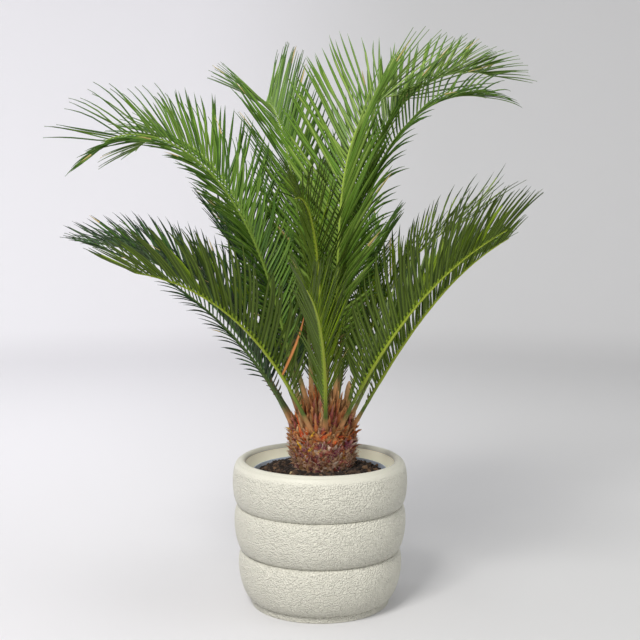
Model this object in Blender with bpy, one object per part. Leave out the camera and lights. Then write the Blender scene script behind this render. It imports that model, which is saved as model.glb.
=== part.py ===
"""Potted sago palm: a ringed planter, its liner and soil, a scaly trunk and a full crown of fronds.

Units are metres and +Z is up. The origin is the centre of the planter's flat underside, and +Y is
the side of the plant that faces away from its front. Headings are degrees anticlockwise from +X.
"""
import math
from dataclasses import dataclass

import bpy
import numpy as np
from mathutils import Vector
from mathutils.bvhtree import BVHTree

# Planter: three bulging rings on a low foot, with a round lip
FOOT_RADIUS = 0.0998
FOOT_HEIGHT = 0.0098
FOOT_EDGE = 0.0015
GROOVE_HEIGHTS = (0.0098, 0.0791, 0.1448, 0.2069)
GROOVE_RADII = (0.1000, 0.1112, 0.1168, 0.1175)
RING_BULGES = (0.0108, 0.0090, 0.0083)
LIP_CENTRE = (0.1125, 0.2040)
LIP_RADIUS = 0.0058
LIP_TURNS = (30, 65, 100, 140, 180)
FLOOR_HEIGHT = 0.0110
INNER_WALL = ((0.1062, 0.1500), (0.1062, 0.0600), (0.1002, 0.0280), (0.0880, FLOOR_HEIGHT))
RING_STEPS = 7
TURN_STEPS = 40

# Grow pot inside the planter, and its soil
GAP = 0.0003
LINER_TOP = 0.1925
LINER_RADIUS = 0.0975
LINER_FOOT_RADIUS = 0.0770
LINER_WALL = 0.0015
LINER_BAND = 0.0120
LINER_STEP = 0.0020
SOIL_EDGE_HEIGHT = 0.1870
SOIL_MOUND_HEIGHT = 0.1975
SOIL_MOUND_RADIUS = 0.0560
SOIL_BEVEL = 0.0020

# Trunk: a short barrel of leaf scales that closes in a blunt cone
TRUNK_OFFSET = 0.0040
TRUNK_FOOT = SOIL_MOUND_HEIGHT + GAP
TRUNK_PROFILE = (
    (0.0425, TRUNK_FOOT), (0.0460, 0.2090), (0.0485, 0.2260), (0.0478, 0.2430),
    (0.0440, 0.2525), (0.0290, 0.2715), (0.0140, 0.2880), (0.0080, 0.2925),
)
SCALE_LOBES = 12
SCALE_DEPTH = 0.0011
BUD_PROFILE = ((0.0062, 0.2928), (0.0075, 0.3050), (0.0058, 0.3200), (0.0, 0.3380))

# Where a leaf stalk leaves the trunk: level 0 is the oldest, lowest ring and level 1 the newest
SEAT_RADII = (0.040, 0.014)
SEAT_HEIGHTS = (0.250, 0.285)

# Frond rib, as half widths along the stalk and rib, and the leaflets on it
RIB_STATIONS = (0.0, 0.04, 0.12, 0.5, 1.0)
RIB_HALF_WIDTHS = (0.0060, 0.0046, 0.0032, 0.0023, 0.0009)
RIB_HALF_DEPTHS = (0.0045, 0.0036, 0.0028, 0.0020, 0.0009)
STALK_SHARE = 0.20
STALK_MARKS = (0.04, 0.10, STALK_SHARE)
MARK_SPACE = 0.01
STALK_START_LIMIT = 0.12
STALK_START_STEP = 0.0005
LEAF_PITCH = 0.026
LEAF_ROOT_SHARE = 0.62
LEAF_MIDDLE = 0.55
LEAF_HALF_WIDTH = 0.42
LEAF_THICKNESS = 0.0016
LEAF_STATIONS = (0.0, 0.12, 0.35, 0.75, 1.0)
LEAF_SHARES = (0.45, 0.85, 1.0, 0.92)
SWEEP_CHANGE = 12.0
SWEEP_STATIONS = (0.0, 0.5, 1.0)
CURL_FADE = 0.65
LEAF_TRIES = (1.0, 0.85, 0.7, 0.55, 0.4)
LEAF_CLEARANCE = 0.0005
SPLIT_FALL = 57.0

# Dry base of an old leaf, behind the crown
OLD_BASE_HEADING = 34.0
OLD_BASE_RADIUS = 0.0355
OLD_BASE_SIZE = (0.0125, 0.0030, 0.0520)
OLD_BASE_LEAN = 12.0
OLD_BASE_OUTLINE = ((-0.35, 0.0), (0.35, 0.0), (0.5, 0.45), (0.46, 0.86), (0.2, 1.0), (-0.3, 0.95),
                    (-0.5, 0.5))
OLD_BASE_STEP = 0.0001


@dataclass(frozen=True)
class Frond:
    """One leaf of the crown, as its rib's course and its leaflets' angles.

    seat and level place the stalk's foot on the trunk; heading and rise are its first direction.
    The rib's slope drops by fall * s**bend and its heading turns by swing * s, with s from 0 to 1.
    roll and twist turn the blade about the rib, keel lifts each row of leaflets from the flat,
    sweep is a leaflet's angle from the rib, which falls by fan towards the tip, and lag is what the
    left row has more of it at the foot and less at the tip. curl bends a leaflet's end towards the
    rib's underside, the later along it the higher hook is, and less towards the frond's tip. leaf is
    the longest leaflet, and end the share of it that the last leaflets have.
    """

    name: str
    seat: float
    level: float
    heading: float
    rise: float
    fall: float
    length: float
    bend: float = 1.8
    swing: float = 0.0
    roll: float = 0.0
    twist: float = 0.0
    leaf: float = 0.120
    keel: float = 50.0
    sweep: float = 42.0
    curl: float = 0.5
    end: float = 0.60
    lag: float = 0.0
    fan: float = 20.0
    hook: float = 2.0


FRONDS = (
    Frond("left_high", seat=215, level=0.30, heading=191.2, rise=77.7, fall=102.2, length=0.560,
          bend=2.82, swing=36.3, roll=-74, twist=14, leaf=0.100, keel=24, sweep=41, curl=0.95,
          end=0.85, lag=8, fan=20, hook=3),
    Frond("left_high_back", seat=200, level=0.80, heading=172, rise=73, fall=110, length=0.567,
          bend=3.4, swing=-36, roll=-30, keel=35),
    Frond("back_left_high", seat=145, level=0.85, heading=113, rise=81.9, fall=82.5, length=0.612,
          bend=2.1, swing=-12, twist=-22, leaf=0.135, keel=50, sweep=43, curl=0.3, end=0.95, fan=-6),
    Frond("back_right_high", seat=0, level=0.85, heading=72, rise=88, fall=110.7, length=0.535,
          bend=4.7, swing=-33, roll=3, leaf=0.160, keel=37, curl=0.3, end=0.95, lag=-8, fan=2),
    Frond("right_high", seat=50, level=0.50, heading=45.3, rise=82.4, fall=96.4, length=0.582,
          bend=3.5, swing=-35.2, roll=25, leaf=0.085, keel=40, sweep=50, curl=1.5, end=0.75, lag=-15,
          fan=25),
    Frond("right_high_back", seat=85, level=0.90, heading=66.8, rise=76.6, fall=90.1, length=0.686,
          bend=2.75, swing=-40.3, roll=8, leaf=0.124, keel=45, sweep=35, curl=0.35, end=0.65,
          lag=-8, fan=14),
    Frond("front_high", seat=268, level=0.80, heading=264, rise=84, fall=95, length=0.380, bend=3.1,
          swing=-9, leaf=0.095, keel=60, end=0.5),
    Frond("front_low", seat=275, level=0.15, heading=272, rise=52, fall=31, length=0.337, bend=1.7,
          swing=-13, leaf=0.100, keel=62),
    Frond("left_front", seat=247, level=0.08, heading=222, rise=60, fall=51, length=0.360, swing=-24,
          keel=60),
    Frond("left_low", seat=188, level=0.00, heading=183.7, rise=65.3, fall=48.1, length=0.408,
          bend=1.14, swing=5.8, roll=-48, twist=34, leaf=0.066, keel=32, curl=1.1, end=0.5),
    Frond("left_mid", seat=178, level=0.35, heading=169.3, rise=72.6, fall=68.6, length=0.422,
          bend=1.1, swing=8.3, roll=-30, leaf=0.090, end=0.6),
    Frond("left_back", seat=150, level=0.45, heading=140, rise=65, fall=22, length=0.331, swing=-3.7,
          keel=40),
    Frond("left_back_low", seat=155, level=0.00, heading=158, rise=58, fall=45, length=0.380),
    Frond("right_front", seat=302, level=0.05, heading=318, rise=59, fall=30, length=0.385, bend=2,
          swing=20, keel=60),
    Frond("right_low", seat=348, level=0.00, heading=345, rise=60, fall=29.9, length=0.357, bend=2.5,
          swing=8.5, leaf=0.088, keel=60, end=0.5),
    Frond("right_mid", seat=12, level=0.30, heading=14, rise=77, fall=57.3, length=0.361, bend=1.9,
          swing=-2.6, roll=20, leaf=0.075, keel=60, sweep=38, curl=0.35, end=1.4, fan=10),
    Frond("right_back_low", seat=32, level=0.00, heading=30, rise=60, fall=45, length=0.380,
          leaf=0.100, end=0.5),
    Frond("back_right_mid", seat=62, level=0.15, heading=74, rise=58, fall=45, length=0.420),
    Frond("back_mid", seat=98, level=0.45, heading=92, rise=66, fall=56, length=0.500),
    Frond("back_left_mid", seat=122, level=0.20, heading=118, rise=58, fall=45, length=0.450),
    Frond("back_low", seat=92, level=0.00, heading=100, rise=46, fall=32, length=0.360),
)


def clear_scene():
    """Remove every object of the open scene."""
    for item in list(bpy.data.objects):
        bpy.data.objects.remove(item, do_unlink=True)


def material(name, colour, roughness):
    """Return a Principled BSDF material of one colour."""
    made = bpy.data.materials.new(name)
    made.use_nodes = True
    shader = made.node_tree.nodes["Principled BSDF"]
    shader.inputs["Base Color"].default_value = (*colour, 1.0)
    shader.inputs["Roughness"].default_value = roughness
    shader.inputs["Metallic"].default_value = 0.0
    return made


def triangles(faces):
    """Split every face into a fan of triangles, the same way for a mesh and for its search tree."""
    return [(face[0], face[k], face[k + 1]) for face in faces for k in range(1, len(face) - 1)]


def add_object(name, vertices, faces, finish, smooth=True):
    """Add a mesh object at the origin from its vertices and faces."""
    mesh = bpy.data.meshes.new(name)
    mesh.from_pydata([tuple(map(float, v)) for v in vertices], [], triangles(faces))
    mesh.materials.append(finish)
    if smooth:
        mesh.shade_smooth()
        mesh.set_sharp_from_angle(angle=math.radians(35))
    item = bpy.data.objects.new(name, mesh)
    bpy.context.scene.collection.objects.link(item)
    return item


def turned(profile, steps, offset=0.0, lobes=0, depth=0.0):
    """Turn a profile of (radius, height) points about a vertical axis, bottom centre to top centre.

    lobes and depth wave every inner ring in and out, each ring half a lobe on from the last.
    """
    vertices = [(offset, 0.0, profile[0][1])]
    angles = np.arange(steps) * 2 * math.pi / steps
    rings = [point for point in profile if point[0] > 0]
    for row, (radius, height) in enumerate(rings):
        wave = depth * np.cos(lobes * angles + math.pi * row)
        if row in (0, len(rings) - 1):
            wave = wave * 0.0
        reach = radius + wave
        vertices += [(offset + r * math.cos(a), r * math.sin(a), height) for r, a in zip(reach, angles)]
    vertices.append((offset, 0.0, profile[-1][1]))
    top = len(vertices) - 1
    last = 1 + (len(rings) - 1) * steps
    faces = []
    for k in range(steps):
        n = (k + 1) % steps
        faces.append((0, 1 + n, 1 + k))
        faces.append((top, last + k, last + n))
        for row in range(len(rings) - 1):
            low, high = 1 + row * steps, 1 + (row + 1) * steps
            faces.append((low + k, low + n, high + n, high + k))
    return vertices, faces


def planter_profile():
    """Return the planter's section: underside, foot, three rings, lip, inner wall and floor."""
    points = [(FOOT_RADIUS - FOOT_EDGE, 0.0), (FOOT_RADIUS, FOOT_EDGE),
              (FOOT_RADIUS, FOOT_HEIGHT - FOOT_EDGE)]
    for k, bulge in enumerate(RING_BULGES):
        for step in range(RING_STEPS):
            t = step / RING_STEPS
            radius = GROOVE_RADII[k] + (GROOVE_RADII[k + 1] - GROOVE_RADII[k]) * t
            height = GROOVE_HEIGHTS[k] + (GROOVE_HEIGHTS[k + 1] - GROOVE_HEIGHTS[k]) * t
            points.append((radius + bulge * math.sqrt(4 * t * (1 - t)), height))
    for angle in LIP_TURNS:
        turn = math.radians(angle)
        points.append((LIP_CENTRE[0] + LIP_RADIUS * math.cos(turn),
                       LIP_CENTRE[1] + LIP_RADIUS * math.sin(turn)))
    return points + list(INNER_WALL)


def liner_profile():
    """Return the grow pot's section: a thin tapered cup with a band round its rim."""
    foot = FLOOR_HEIGHT + GAP
    band = LINER_TOP - LINER_BAND
    return [(LINER_FOOT_RADIUS, foot), (LINER_RADIUS - LINER_STEP, band), (LINER_RADIUS, band + GAP),
            (LINER_RADIUS, LINER_TOP), (LINER_RADIUS - LINER_WALL, LINER_TOP),
            (LINER_FOOT_RADIUS - LINER_WALL, foot + LINER_WALL)]


def soil_profile():
    """Return the soil's section: it fills the liner and is heaped against the trunk."""
    foot = FLOOR_HEIGHT + LINER_WALL + 2 * GAP
    narrow = LINER_FOOT_RADIUS - LINER_WALL
    slope = (LINER_RADIUS - LINER_FOOT_RADIUS) / (LINER_TOP - FLOOR_HEIGHT)
    edge = narrow + slope * (SOIL_EDGE_HEIGHT - foot) - 2 * GAP
    middle = 0.5 * (SOIL_EDGE_HEIGHT + SOIL_MOUND_HEIGHT)
    return [(narrow - 2 * GAP, foot), (edge, SOIL_EDGE_HEIGHT - SOIL_BEVEL),
            (edge - SOIL_BEVEL, SOIL_EDGE_HEIGHT), (0.5 * (edge + SOIL_MOUND_RADIUS), middle),
            (SOIL_MOUND_RADIUS, SOIL_MOUND_HEIGHT)]


def is_clear(point, tree):
    """Tell whether a point lies outside a closed surface, with the usual gap to it."""
    near, normal, _, distance = tree.find_nearest(Vector(point))
    return (Vector(point) - near).dot(normal) > 0 and distance >= GAP


class Rib:
    """The rib of one frond: its centre line, and the blade's frame along it."""

    STEPS = 200

    def __init__(self, frond):
        self.frond = frond
        self.stations = np.linspace(0.0, 1.0, self.STEPS + 1)
        middles = 0.5 * (self.stations[1:] + self.stations[:-1])
        steps = self.direction(middles) * frond.length / self.STEPS
        seat = math.radians(frond.seat)
        radius = SEAT_RADII[0] + (SEAT_RADII[1] - SEAT_RADII[0]) * frond.level
        height = SEAT_HEIGHTS[0] + (SEAT_HEIGHTS[1] - SEAT_HEIGHTS[0]) * frond.level
        foot = np.array([TRUNK_OFFSET + radius * math.cos(seat), radius * math.sin(seat), height])
        self.points = foot + np.concatenate([np.zeros((1, 3)), np.cumsum(steps, axis=0)])

    def angles(self, s):
        """Return the rib's slope and heading at s, in radians."""
        frond = self.frond
        slope = np.radians(frond.rise - frond.fall * s ** frond.bend)
        heading = np.radians(frond.heading + frond.swing * s)
        return slope, heading

    def direction(self, s):
        """Return the rib's direction at s."""
        slope, heading = self.angles(s)
        return np.stack([np.cos(slope) * np.cos(heading), np.cos(slope) * np.sin(heading),
                         np.sin(slope)], axis=-1)

    def frame(self, s):
        """Return the point, direction, upper side and right side of the blade at one s."""
        slope, heading = self.angles(s)
        point = np.array([np.interp(s, self.stations, self.points[:, k]) for k in range(3)])
        along = self.direction(s)
        upper = np.array([-math.sin(slope) * math.cos(heading), -math.sin(slope) * math.sin(heading),
                          math.cos(slope)])
        right = np.cross(along, upper)
        roll = math.radians(self.frond.roll + self.frond.twist * s)
        turned_upper = upper * math.cos(roll) + right * math.sin(roll)
        turned_right = right * math.cos(roll) - upper * math.sin(roll)
        return point, along, turned_upper, turned_right

    def ring(self, s):
        """Return the rib's four corners at s: low left, low right, high right, high left."""
        point, _, upper, right = self.frame(s)
        wide = right * np.interp(s, RIB_STATIONS, RIB_HALF_WIDTHS)
        deep = upper * np.interp(s, RIB_STATIONS, RIB_HALF_DEPTHS)
        return [point - wide - deep, point + wide - deep, point + wide + deep, point - wide + deep]

    def start(self, trunk_tree):
        """Return the first s at which the stalk's foot stands clear of the trunk."""
        for s in np.arange(0.0, STALK_START_LIMIT, STALK_START_STEP):
            corners = self.ring(s)
            edges = [0.5 * (corners[k] + corners[k - 1]) for k in range(4)]
            if not all(is_clear(point, trunk_tree) for point in corners + edges):
                continue
            if not tree_of([stalk_mesh(self, float(s))]).overlap(trunk_tree):
                return float(s)
        raise ValueError("the stalk of " + self.frond.name + " never leaves the trunk")

    def slots(self):
        """Return the start and end of each leaflet's root along the rib."""
        blade = (1.0 - STALK_SHARE) * self.frond.length
        count = max(4, round(blade / LEAF_PITCH))
        pitch = (1.0 - STALK_SHARE) / count
        first = STALK_SHARE + 0.5 * pitch * (1.0 - LEAF_ROOT_SHARE)
        return [(first + k * pitch, first + (k + LEAF_ROOT_SHARE) * pitch) for k in range(count)]

    def leaflet(self, slot, side, share, margin=0.0):
        """Return the middle section and the tip of a leaflet.

        slot is its root along the rib, side is 1 for the right row and -1 for the left one, share
        shortens it, and margin thickens it for a clearance test.
        """
        frond = self.frond
        start, end = slot
        s = 0.5 * (start + end)
        u = (s - STALK_SHARE) / (1.0 - STALK_SHARE)
        point, along, upper, right = self.frame(s)
        reach = frond.leaf * np.interp(u, LEAF_STATIONS, (*LEAF_SHARES, frond.end)) * share
        change = np.interp(u, SWEEP_STATIONS, (SWEEP_CHANGE, 0.0, -frond.fan))
        sweep = math.radians(frond.sweep + change - side * frond.lag * (1.0 - 2.0 * u))
        keel = math.radians(frond.keel)
        out = side * math.cos(keel) * right + math.sin(keel) * upper
        flat = -side * math.sin(keel) * right + math.cos(keel) * upper
        aim = math.cos(sweep) * along + math.sin(sweep) * out
        drop = upper * (frond.curl * (1.0 - CURL_FADE * u) * reach / (frond.hook + 1.0))
        middle = point + aim * reach * LEAF_MIDDLE - drop * LEAF_MIDDLE ** (frond.hook + 1.0)
        tip = point + aim * reach - drop
        half = along * (LEAF_HALF_WIDTH * (end - start) * frond.length + margin)
        thick = flat * (0.5 * LEAF_THICKNESS + margin)
        corners = [middle - half - thick, middle + half - thick, middle + half + thick,
                   middle - half + thick]
        if side < 0:
            corners = [corners[1], corners[0], corners[3], corners[2]]
        return corners, tip + aim * margin


def spike(root, middle, tip):
    """Return the vertices and faces of a closed leaflet from its root, middle and tip."""
    vertices = list(root) + list(middle) + [tip]
    faces = [(3, 2, 1, 0)]
    for k in range(4):
        n = (k + 1) % 4
        faces.append((k, n, 4 + n, 4 + k))
        faces.append((4 + k, 4 + n, 8))
    return vertices, faces


def tree_of(pieces):
    """Return one search tree over a list of (vertices, faces) pieces."""
    vertices, faces = [], []
    for piece_vertices, piece_faces in pieces:
        first = len(vertices)
        vertices += [Vector(v) for v in piece_vertices]
        faces += [tuple(first + k for k in face) for face in triangles(piece_faces)]
    return BVHTree.FromPolygons(vertices, faces)


def root_corners(low, high, side):
    """Return a leaflet's root on the rib between two rings, in order as seen from its side."""
    if side > 0:
        return [low[1], high[1], high[2], low[2]]
    return [high[0], low[0], low[3], high[3]]


def fit_leaflets(rib, obstacles):
    """Choose the length of each leaflet so that it clears everything else, or leave it out."""
    chosen, spikes = {}, []
    for number, slot in enumerate(rib.slots()):
        for side in (-1, 1):
            root = root_corners(rib.ring(slot[0]), rib.ring(slot[1]), side)
            for share in LEAF_TRIES:
                middle, tip = rib.leaflet(slot, side, share, LEAF_CLEARANCE)
                test = spike(root, middle, tip)
                if not tree_of([test]).overlap(obstacles):
                    chosen[number, side] = share
                    spikes.append(test)
                    break
    return chosen, spikes


def frond_piece(rib, begin, finish, slots, chosen):
    """Return the closed mesh of the rib from begin to finish with its leaflets.

    slots maps a leaflet's number to its root, and chosen maps (number, side) to its length share.
    """
    marks = [(begin, None)]
    marks += [(s, None) for s in STALK_MARKS if begin + MARK_SPACE < s < finish - MARK_SPACE]
    for number, (low, high) in slots.items():
        marks.append((low, number))
        marks.append((high, None))
    marks.append((finish, None))
    vertices = [corner for s, _ in marks for corner in rib.ring(s)]
    faces = [(0, 1, 2, 3)]
    for row in range(len(marks) - 1):
        low = [4 * row + k for k in range(4)]
        high = [4 * row + 4 + k for k in range(4)]
        faces.append((low[3], low[2], high[2], high[3]))
        faces.append((low[0], high[0], high[1], low[1]))
        number = marks[row][1]
        for side in (-1, 1):
            root = root_corners(low, high, side)
            if number is None or (number, side) not in chosen:
                faces.append(tuple(root))
                continue
            middle, tip = rib.leaflet(slots[number], side, chosen[number, side])
            first = len(vertices)
            vertices += middle + [tip]
            for k in range(4):
                n = (k + 1) % 4
                faces.append((root[k], root[n], first + n, first + k))
                faces.append((first + k, first + n, first + 4))
    end = [4 * (len(marks) - 1) + k for k in (3, 2, 1, 0)]
    faces.append(tuple(end))
    return vertices, faces


def stalk_mesh(rib, begin):
    """Return the bare rib as a closed mesh, for the clearance tests of the other fronds."""
    return frond_piece(rib, begin, 1.0, dict(enumerate(rib.slots())), {})


def split_slot(frond, slots):
    """Return the number of the first leaflet past the bend, or None for a frond with no sharp bend."""
    if frond.fall < SPLIT_FALL:
        return None
    bend = 0.5 ** (1.0 / frond.bend)
    return min(range(1, len(slots)), key=lambda k: abs(slots[k][0] - bend))


def build_fronds(solids, trunk, finish):
    """Build every frond, in one node or split in two at its bend."""
    trunk_tree = tree_of([trunk])
    ribs = [Rib(frond) for frond in FRONDS]
    begins = [rib.start(trunk_tree) for rib in ribs]
    stalks = [stalk_mesh(rib, begin) for rib, begin in zip(ribs, begins)]
    placed = list(solids)
    for number, (rib, begin) in enumerate(zip(ribs, begins)):
        others = stalks[:number] + stalks[number + 1:]
        chosen, spikes = fit_leaflets(rib, tree_of(placed + others))
        placed += spikes
        slots = rib.slots()
        cut = split_slot(rib.frond, slots)
        name = "frond_" + rib.frond.name
        if cut is None:
            piece = frond_piece(rib, begin, 1.0, dict(enumerate(slots)), chosen)
            add_object(name, *piece, finish, smooth=False)
            continue
        gap = 0.5 * GAP / rib.frond.length
        middle = 0.5 * (slots[cut - 1][1] + slots[cut][0])
        lower = {k: slots[k] for k in range(cut)}
        upper = {k: slots[k] for k in range(cut, len(slots))}
        add_object(name, *frond_piece(rib, begin, middle - gap, lower, chosen), finish, smooth=False)
        add_object(name + "_end", *frond_piece(rib, middle + gap, 1.0, upper, chosen), finish,
                   smooth=False)


def old_leaf_base(height):
    """Return the dry, flat base of an old leaf, which leans out behind the crown from a height."""
    wide, thick, tall = OLD_BASE_SIZE
    heading = math.radians(OLD_BASE_HEADING)
    lean = math.radians(OLD_BASE_LEAN)
    outward = np.array([math.cos(heading), math.sin(heading), 0.0])
    side = np.array([-math.sin(heading), math.cos(heading), 0.0])
    up = np.array([0.0, 0.0, math.cos(lean)]) + outward * math.sin(lean)
    flat = outward * math.cos(lean) - np.array([0.0, 0.0, math.sin(lean)])
    foot = outward * OLD_BASE_RADIUS + np.array([TRUNK_OFFSET, 0.0, height])
    middle = [foot + side * wide * x + up * tall * z for x, z in OLD_BASE_OUTLINE]
    inner = [point - flat * thick / 2 for point in middle]
    outer = [point + flat * thick / 2 for point in middle]
    count = len(middle)
    faces = [tuple(reversed(range(count))), tuple(range(count, 2 * count))]
    faces += [(k, (k + 1) % count, count + (k + 1) % count, count + k) for k in range(count)]
    return inner + outer, faces


def seated_leaf_base(trunk_tree):
    """Return the old leaf's base at the lowest height where it is clear of the trunk."""
    for height in np.arange(*SEAT_HEIGHTS, OLD_BASE_STEP):
        piece = old_leaf_base(height)
        if all(is_clear(corner, trunk_tree) for corner in piece[0]):
            if not tree_of([piece]).overlap(trunk_tree):
                return piece
    raise ValueError("the old leaf's base never leaves the trunk")


def main():
    """Build the whole plant, from the planter up to the crown."""
    clear_scene()
    ivory = material("ivory glazed clay", (0.86, 0.85, 0.74), 0.5)
    blue_grey = material("blue grey liner", (0.45, 0.52, 0.62), 0.5)
    dark_soil = material("dark potting soil", (0.035, 0.022, 0.015), 0.95)
    bark = material("brown leaf scales", (0.16, 0.07, 0.05), 0.85)
    straw = material("dry tan leaf base", (0.45, 0.32, 0.18), 0.8)
    green = material("green frond", (0.09, 0.20, 0.03), 0.45)

    planter = turned(planter_profile(), TURN_STEPS)
    liner = turned(liner_profile(), TURN_STEPS)
    soil = turned(soil_profile(), TURN_STEPS)
    trunk = turned(TRUNK_PROFILE, 4 * SCALE_LOBES, TRUNK_OFFSET, SCALE_LOBES, SCALE_DEPTH)
    bud = turned(BUD_PROFILE, 10, TRUNK_OFFSET)
    base = seated_leaf_base(tree_of([trunk]))
    add_object("pot", *planter, ivory)
    add_object("liner", *liner, blue_grey)
    add_object("soil", *soil, dark_soil)
    add_object("trunk", *trunk, bark)
    add_object("bud", *bud, straw)
    add_object("old_leaf_base", *base, straw)
    build_fronds([planter, liner, soil, trunk, bud, base], trunk, green)


main()
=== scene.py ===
"""Looks of a potted sago palm: glazed planter, potting soil, scaly trunk and a full crown of fronds.

Units are metres and +Z is up. The origin is the centre of the planter's flat underside, and -Y is the
side that the camera sees. Headings are degrees anticlockwise from +X.
"""

import logging
import math
from dataclasses import dataclass, fields
from enum import Enum, IntEnum
from typing import Iterable, Mapping, Optional, Sequence, Union

import bpy
import numpy as np
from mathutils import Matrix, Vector


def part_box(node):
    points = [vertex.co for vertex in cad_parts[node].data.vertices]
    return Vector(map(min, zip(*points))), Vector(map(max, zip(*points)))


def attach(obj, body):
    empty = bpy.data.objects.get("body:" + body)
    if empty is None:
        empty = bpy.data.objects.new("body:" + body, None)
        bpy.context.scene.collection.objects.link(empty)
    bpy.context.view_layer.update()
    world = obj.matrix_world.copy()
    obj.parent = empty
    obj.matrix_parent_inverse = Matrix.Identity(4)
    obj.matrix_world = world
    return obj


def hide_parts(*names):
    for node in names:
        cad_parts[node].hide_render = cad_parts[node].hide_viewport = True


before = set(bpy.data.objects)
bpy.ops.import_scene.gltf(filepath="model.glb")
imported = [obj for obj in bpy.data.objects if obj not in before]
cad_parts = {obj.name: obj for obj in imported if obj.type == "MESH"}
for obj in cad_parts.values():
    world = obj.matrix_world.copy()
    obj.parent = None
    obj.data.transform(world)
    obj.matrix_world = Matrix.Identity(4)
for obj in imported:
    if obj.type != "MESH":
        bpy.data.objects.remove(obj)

LOG = logging.getLogger("sago_palm")
BODY = "root"

FULL_TURN = 2.0 * math.pi
GOLDEN_ANGLE = math.radians(137.508)
UPRIGHT = np.array([0.0, 0.0, 1.0])
TRUNK_OFFSET = 0.0040

Colour = tuple[float, float, float]
Point = tuple[float, float, float]
Faces = Sequence[np.ndarray]


def turn_rows(vectors: np.ndarray, axes: np.ndarray, angles: np.ndarray) -> np.ndarray:
    """Turn each vector about its own unit axis: v cos a + (k x v) sin a + k (k . v) (1 - cos a).

    Args:
        vectors: Vectors to turn, as rows.
        axes: Unit axes, as rows.
        angles: Angles in radians, one a row.

    Returns:
        The turned vectors, as rows.
    """
    cosine = np.cos(angles)[..., None]
    sine = np.sin(angles)[..., None]
    share = np.sum(axes * vectors, axis=-1, keepdims=True) * (1.0 - cosine)
    return vectors * cosine + np.cross(axes, vectors) * sine + axes * share


def unit(vectors: np.ndarray) -> np.ndarray:
    """Scale each row to length 1."""
    return vectors / np.maximum(np.linalg.norm(vectors, axis=-1, keepdims=True), 1e-12)


def ripple(points: np.ndarray, size: float, seed: int, waves: int = 18) -> np.ndarray:
    """Smooth seeded noise: the mean of sine waves that cross the points in random directions.

    Args:
        points: Points, with their coordinates on the last axis.
        size: Typical wavelength in the points' own units.
        seed: Seed of the waves.
        waves: Number of waves.

    Returns:
        Values of about -1 to 1, one a point.
    """
    dice = np.random.default_rng(seed)
    turns = unit(dice.normal(size=(waves, points.shape[-1])))
    turns *= (FULL_TURN / size) * dice.uniform(0.6, 1.7, (waves, 1))
    phases = dice.uniform(0.0, FULL_TURN, waves)
    return np.sin(points @ turns.T + phases).sum(axis=-1) / math.sqrt(0.5 * waves) / 2.0


def circle(steps: int) -> np.ndarray:
    """Return the angles of equal steps round a full turn, from 0."""
    return np.arange(steps) * FULL_TURN / steps


def compass(angle: np.ndarray) -> tuple[np.ndarray, np.ndarray]:
    """Return the level directions (cos a, sin a, 0) and (-sin a, cos a, 0) of each angle."""
    cosine, sine, zero = np.cos(angle), np.sin(angle), 0.0 * angle
    return np.stack([cosine, sine, zero], axis=-1), np.stack([-sine, cosine, zero], axis=-1)


def rings(radii: np.ndarray, heights: np.ndarray, angles: np.ndarray, offset: float = 0.0) -> np.ndarray:
    """Return rings about an upright axis: x = offset + r cos a, y = r sin a and z = h.

    Args:
        radii: Radius of each ring.
        heights: Height of each ring.
        angles: Angles of the points of a ring.
        offset: The axis's x.

    Returns:
        The points, one row a ring.
    """
    reach = radii[:, None]
    parts = (offset + reach * np.cos(angles), reach * np.sin(angles), heights[:, None])
    return np.stack(np.broadcast_arrays(*parts), axis=-1)


def grid(across: np.ndarray, along: np.ndarray) -> np.ndarray:
    """Return a UV place for each point of a grid, with across in U and each row's value in V."""
    return np.stack(np.broadcast_arrays(across, along[:, None]), axis=-1)


def leaf_section(half: int) -> tuple[np.ndarray, np.ndarray]:
    """Return the section of a flat closed body: along its front, and back along its rear.

    Args:
        half: Number of points on the front, with both margins.

    Returns:
        Each point's place across, from -1 to 1, and its side, 1 in front and -1 at the rear.
    """
    front = np.sin(np.linspace(-0.5, 0.5, half) * math.pi)
    across = np.concatenate([front, front[-2:0:-1]])
    return across, np.concatenate([np.ones(half), -np.ones(half - 2)])


class Signal:
    """A shader socket in Python arithmetic: each operator adds the Math node that it stands for."""

    def __init__(self, net: "Net", socket: bpy.types.NodeSocket) -> None:
        """Keep the node tree and the output socket."""
        self.net = net
        self.socket = socket

    def __add__(self, other: "Value") -> "Signal":
        """Return self + other."""
        return self.net.math("ADD", self, other)

    __radd__ = __add__

    def __mul__(self, other: "Value") -> "Signal":
        """Return self * other."""
        return self.net.math("MULTIPLY", self, other)

    __rmul__ = __mul__

    def __sub__(self, other: "Value") -> "Signal":
        """Return self - other."""
        return self.net.math("SUBTRACT", self, other)

    def __rsub__(self, other: "Value") -> "Signal":
        """Return other - self."""
        return self.net.math("SUBTRACT", other, self)

    def __pow__(self, other: "Value") -> "Signal":
        """Return self ** other."""
        return self.net.math("POWER", self, other)

    def __abs__(self) -> "Signal":
        """Return self without its sign."""
        return self.net.math("ABSOLUTE", self, 0.0)

    def clamped(self) -> "Signal":
        """Return self held between 0 and 1."""
        return self.net.math("MINIMUM", self.net.math("MAXIMUM", self, 0.0), 1.0)


Value = Union[Signal, float]
Paint = Union[Signal, Colour]


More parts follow.
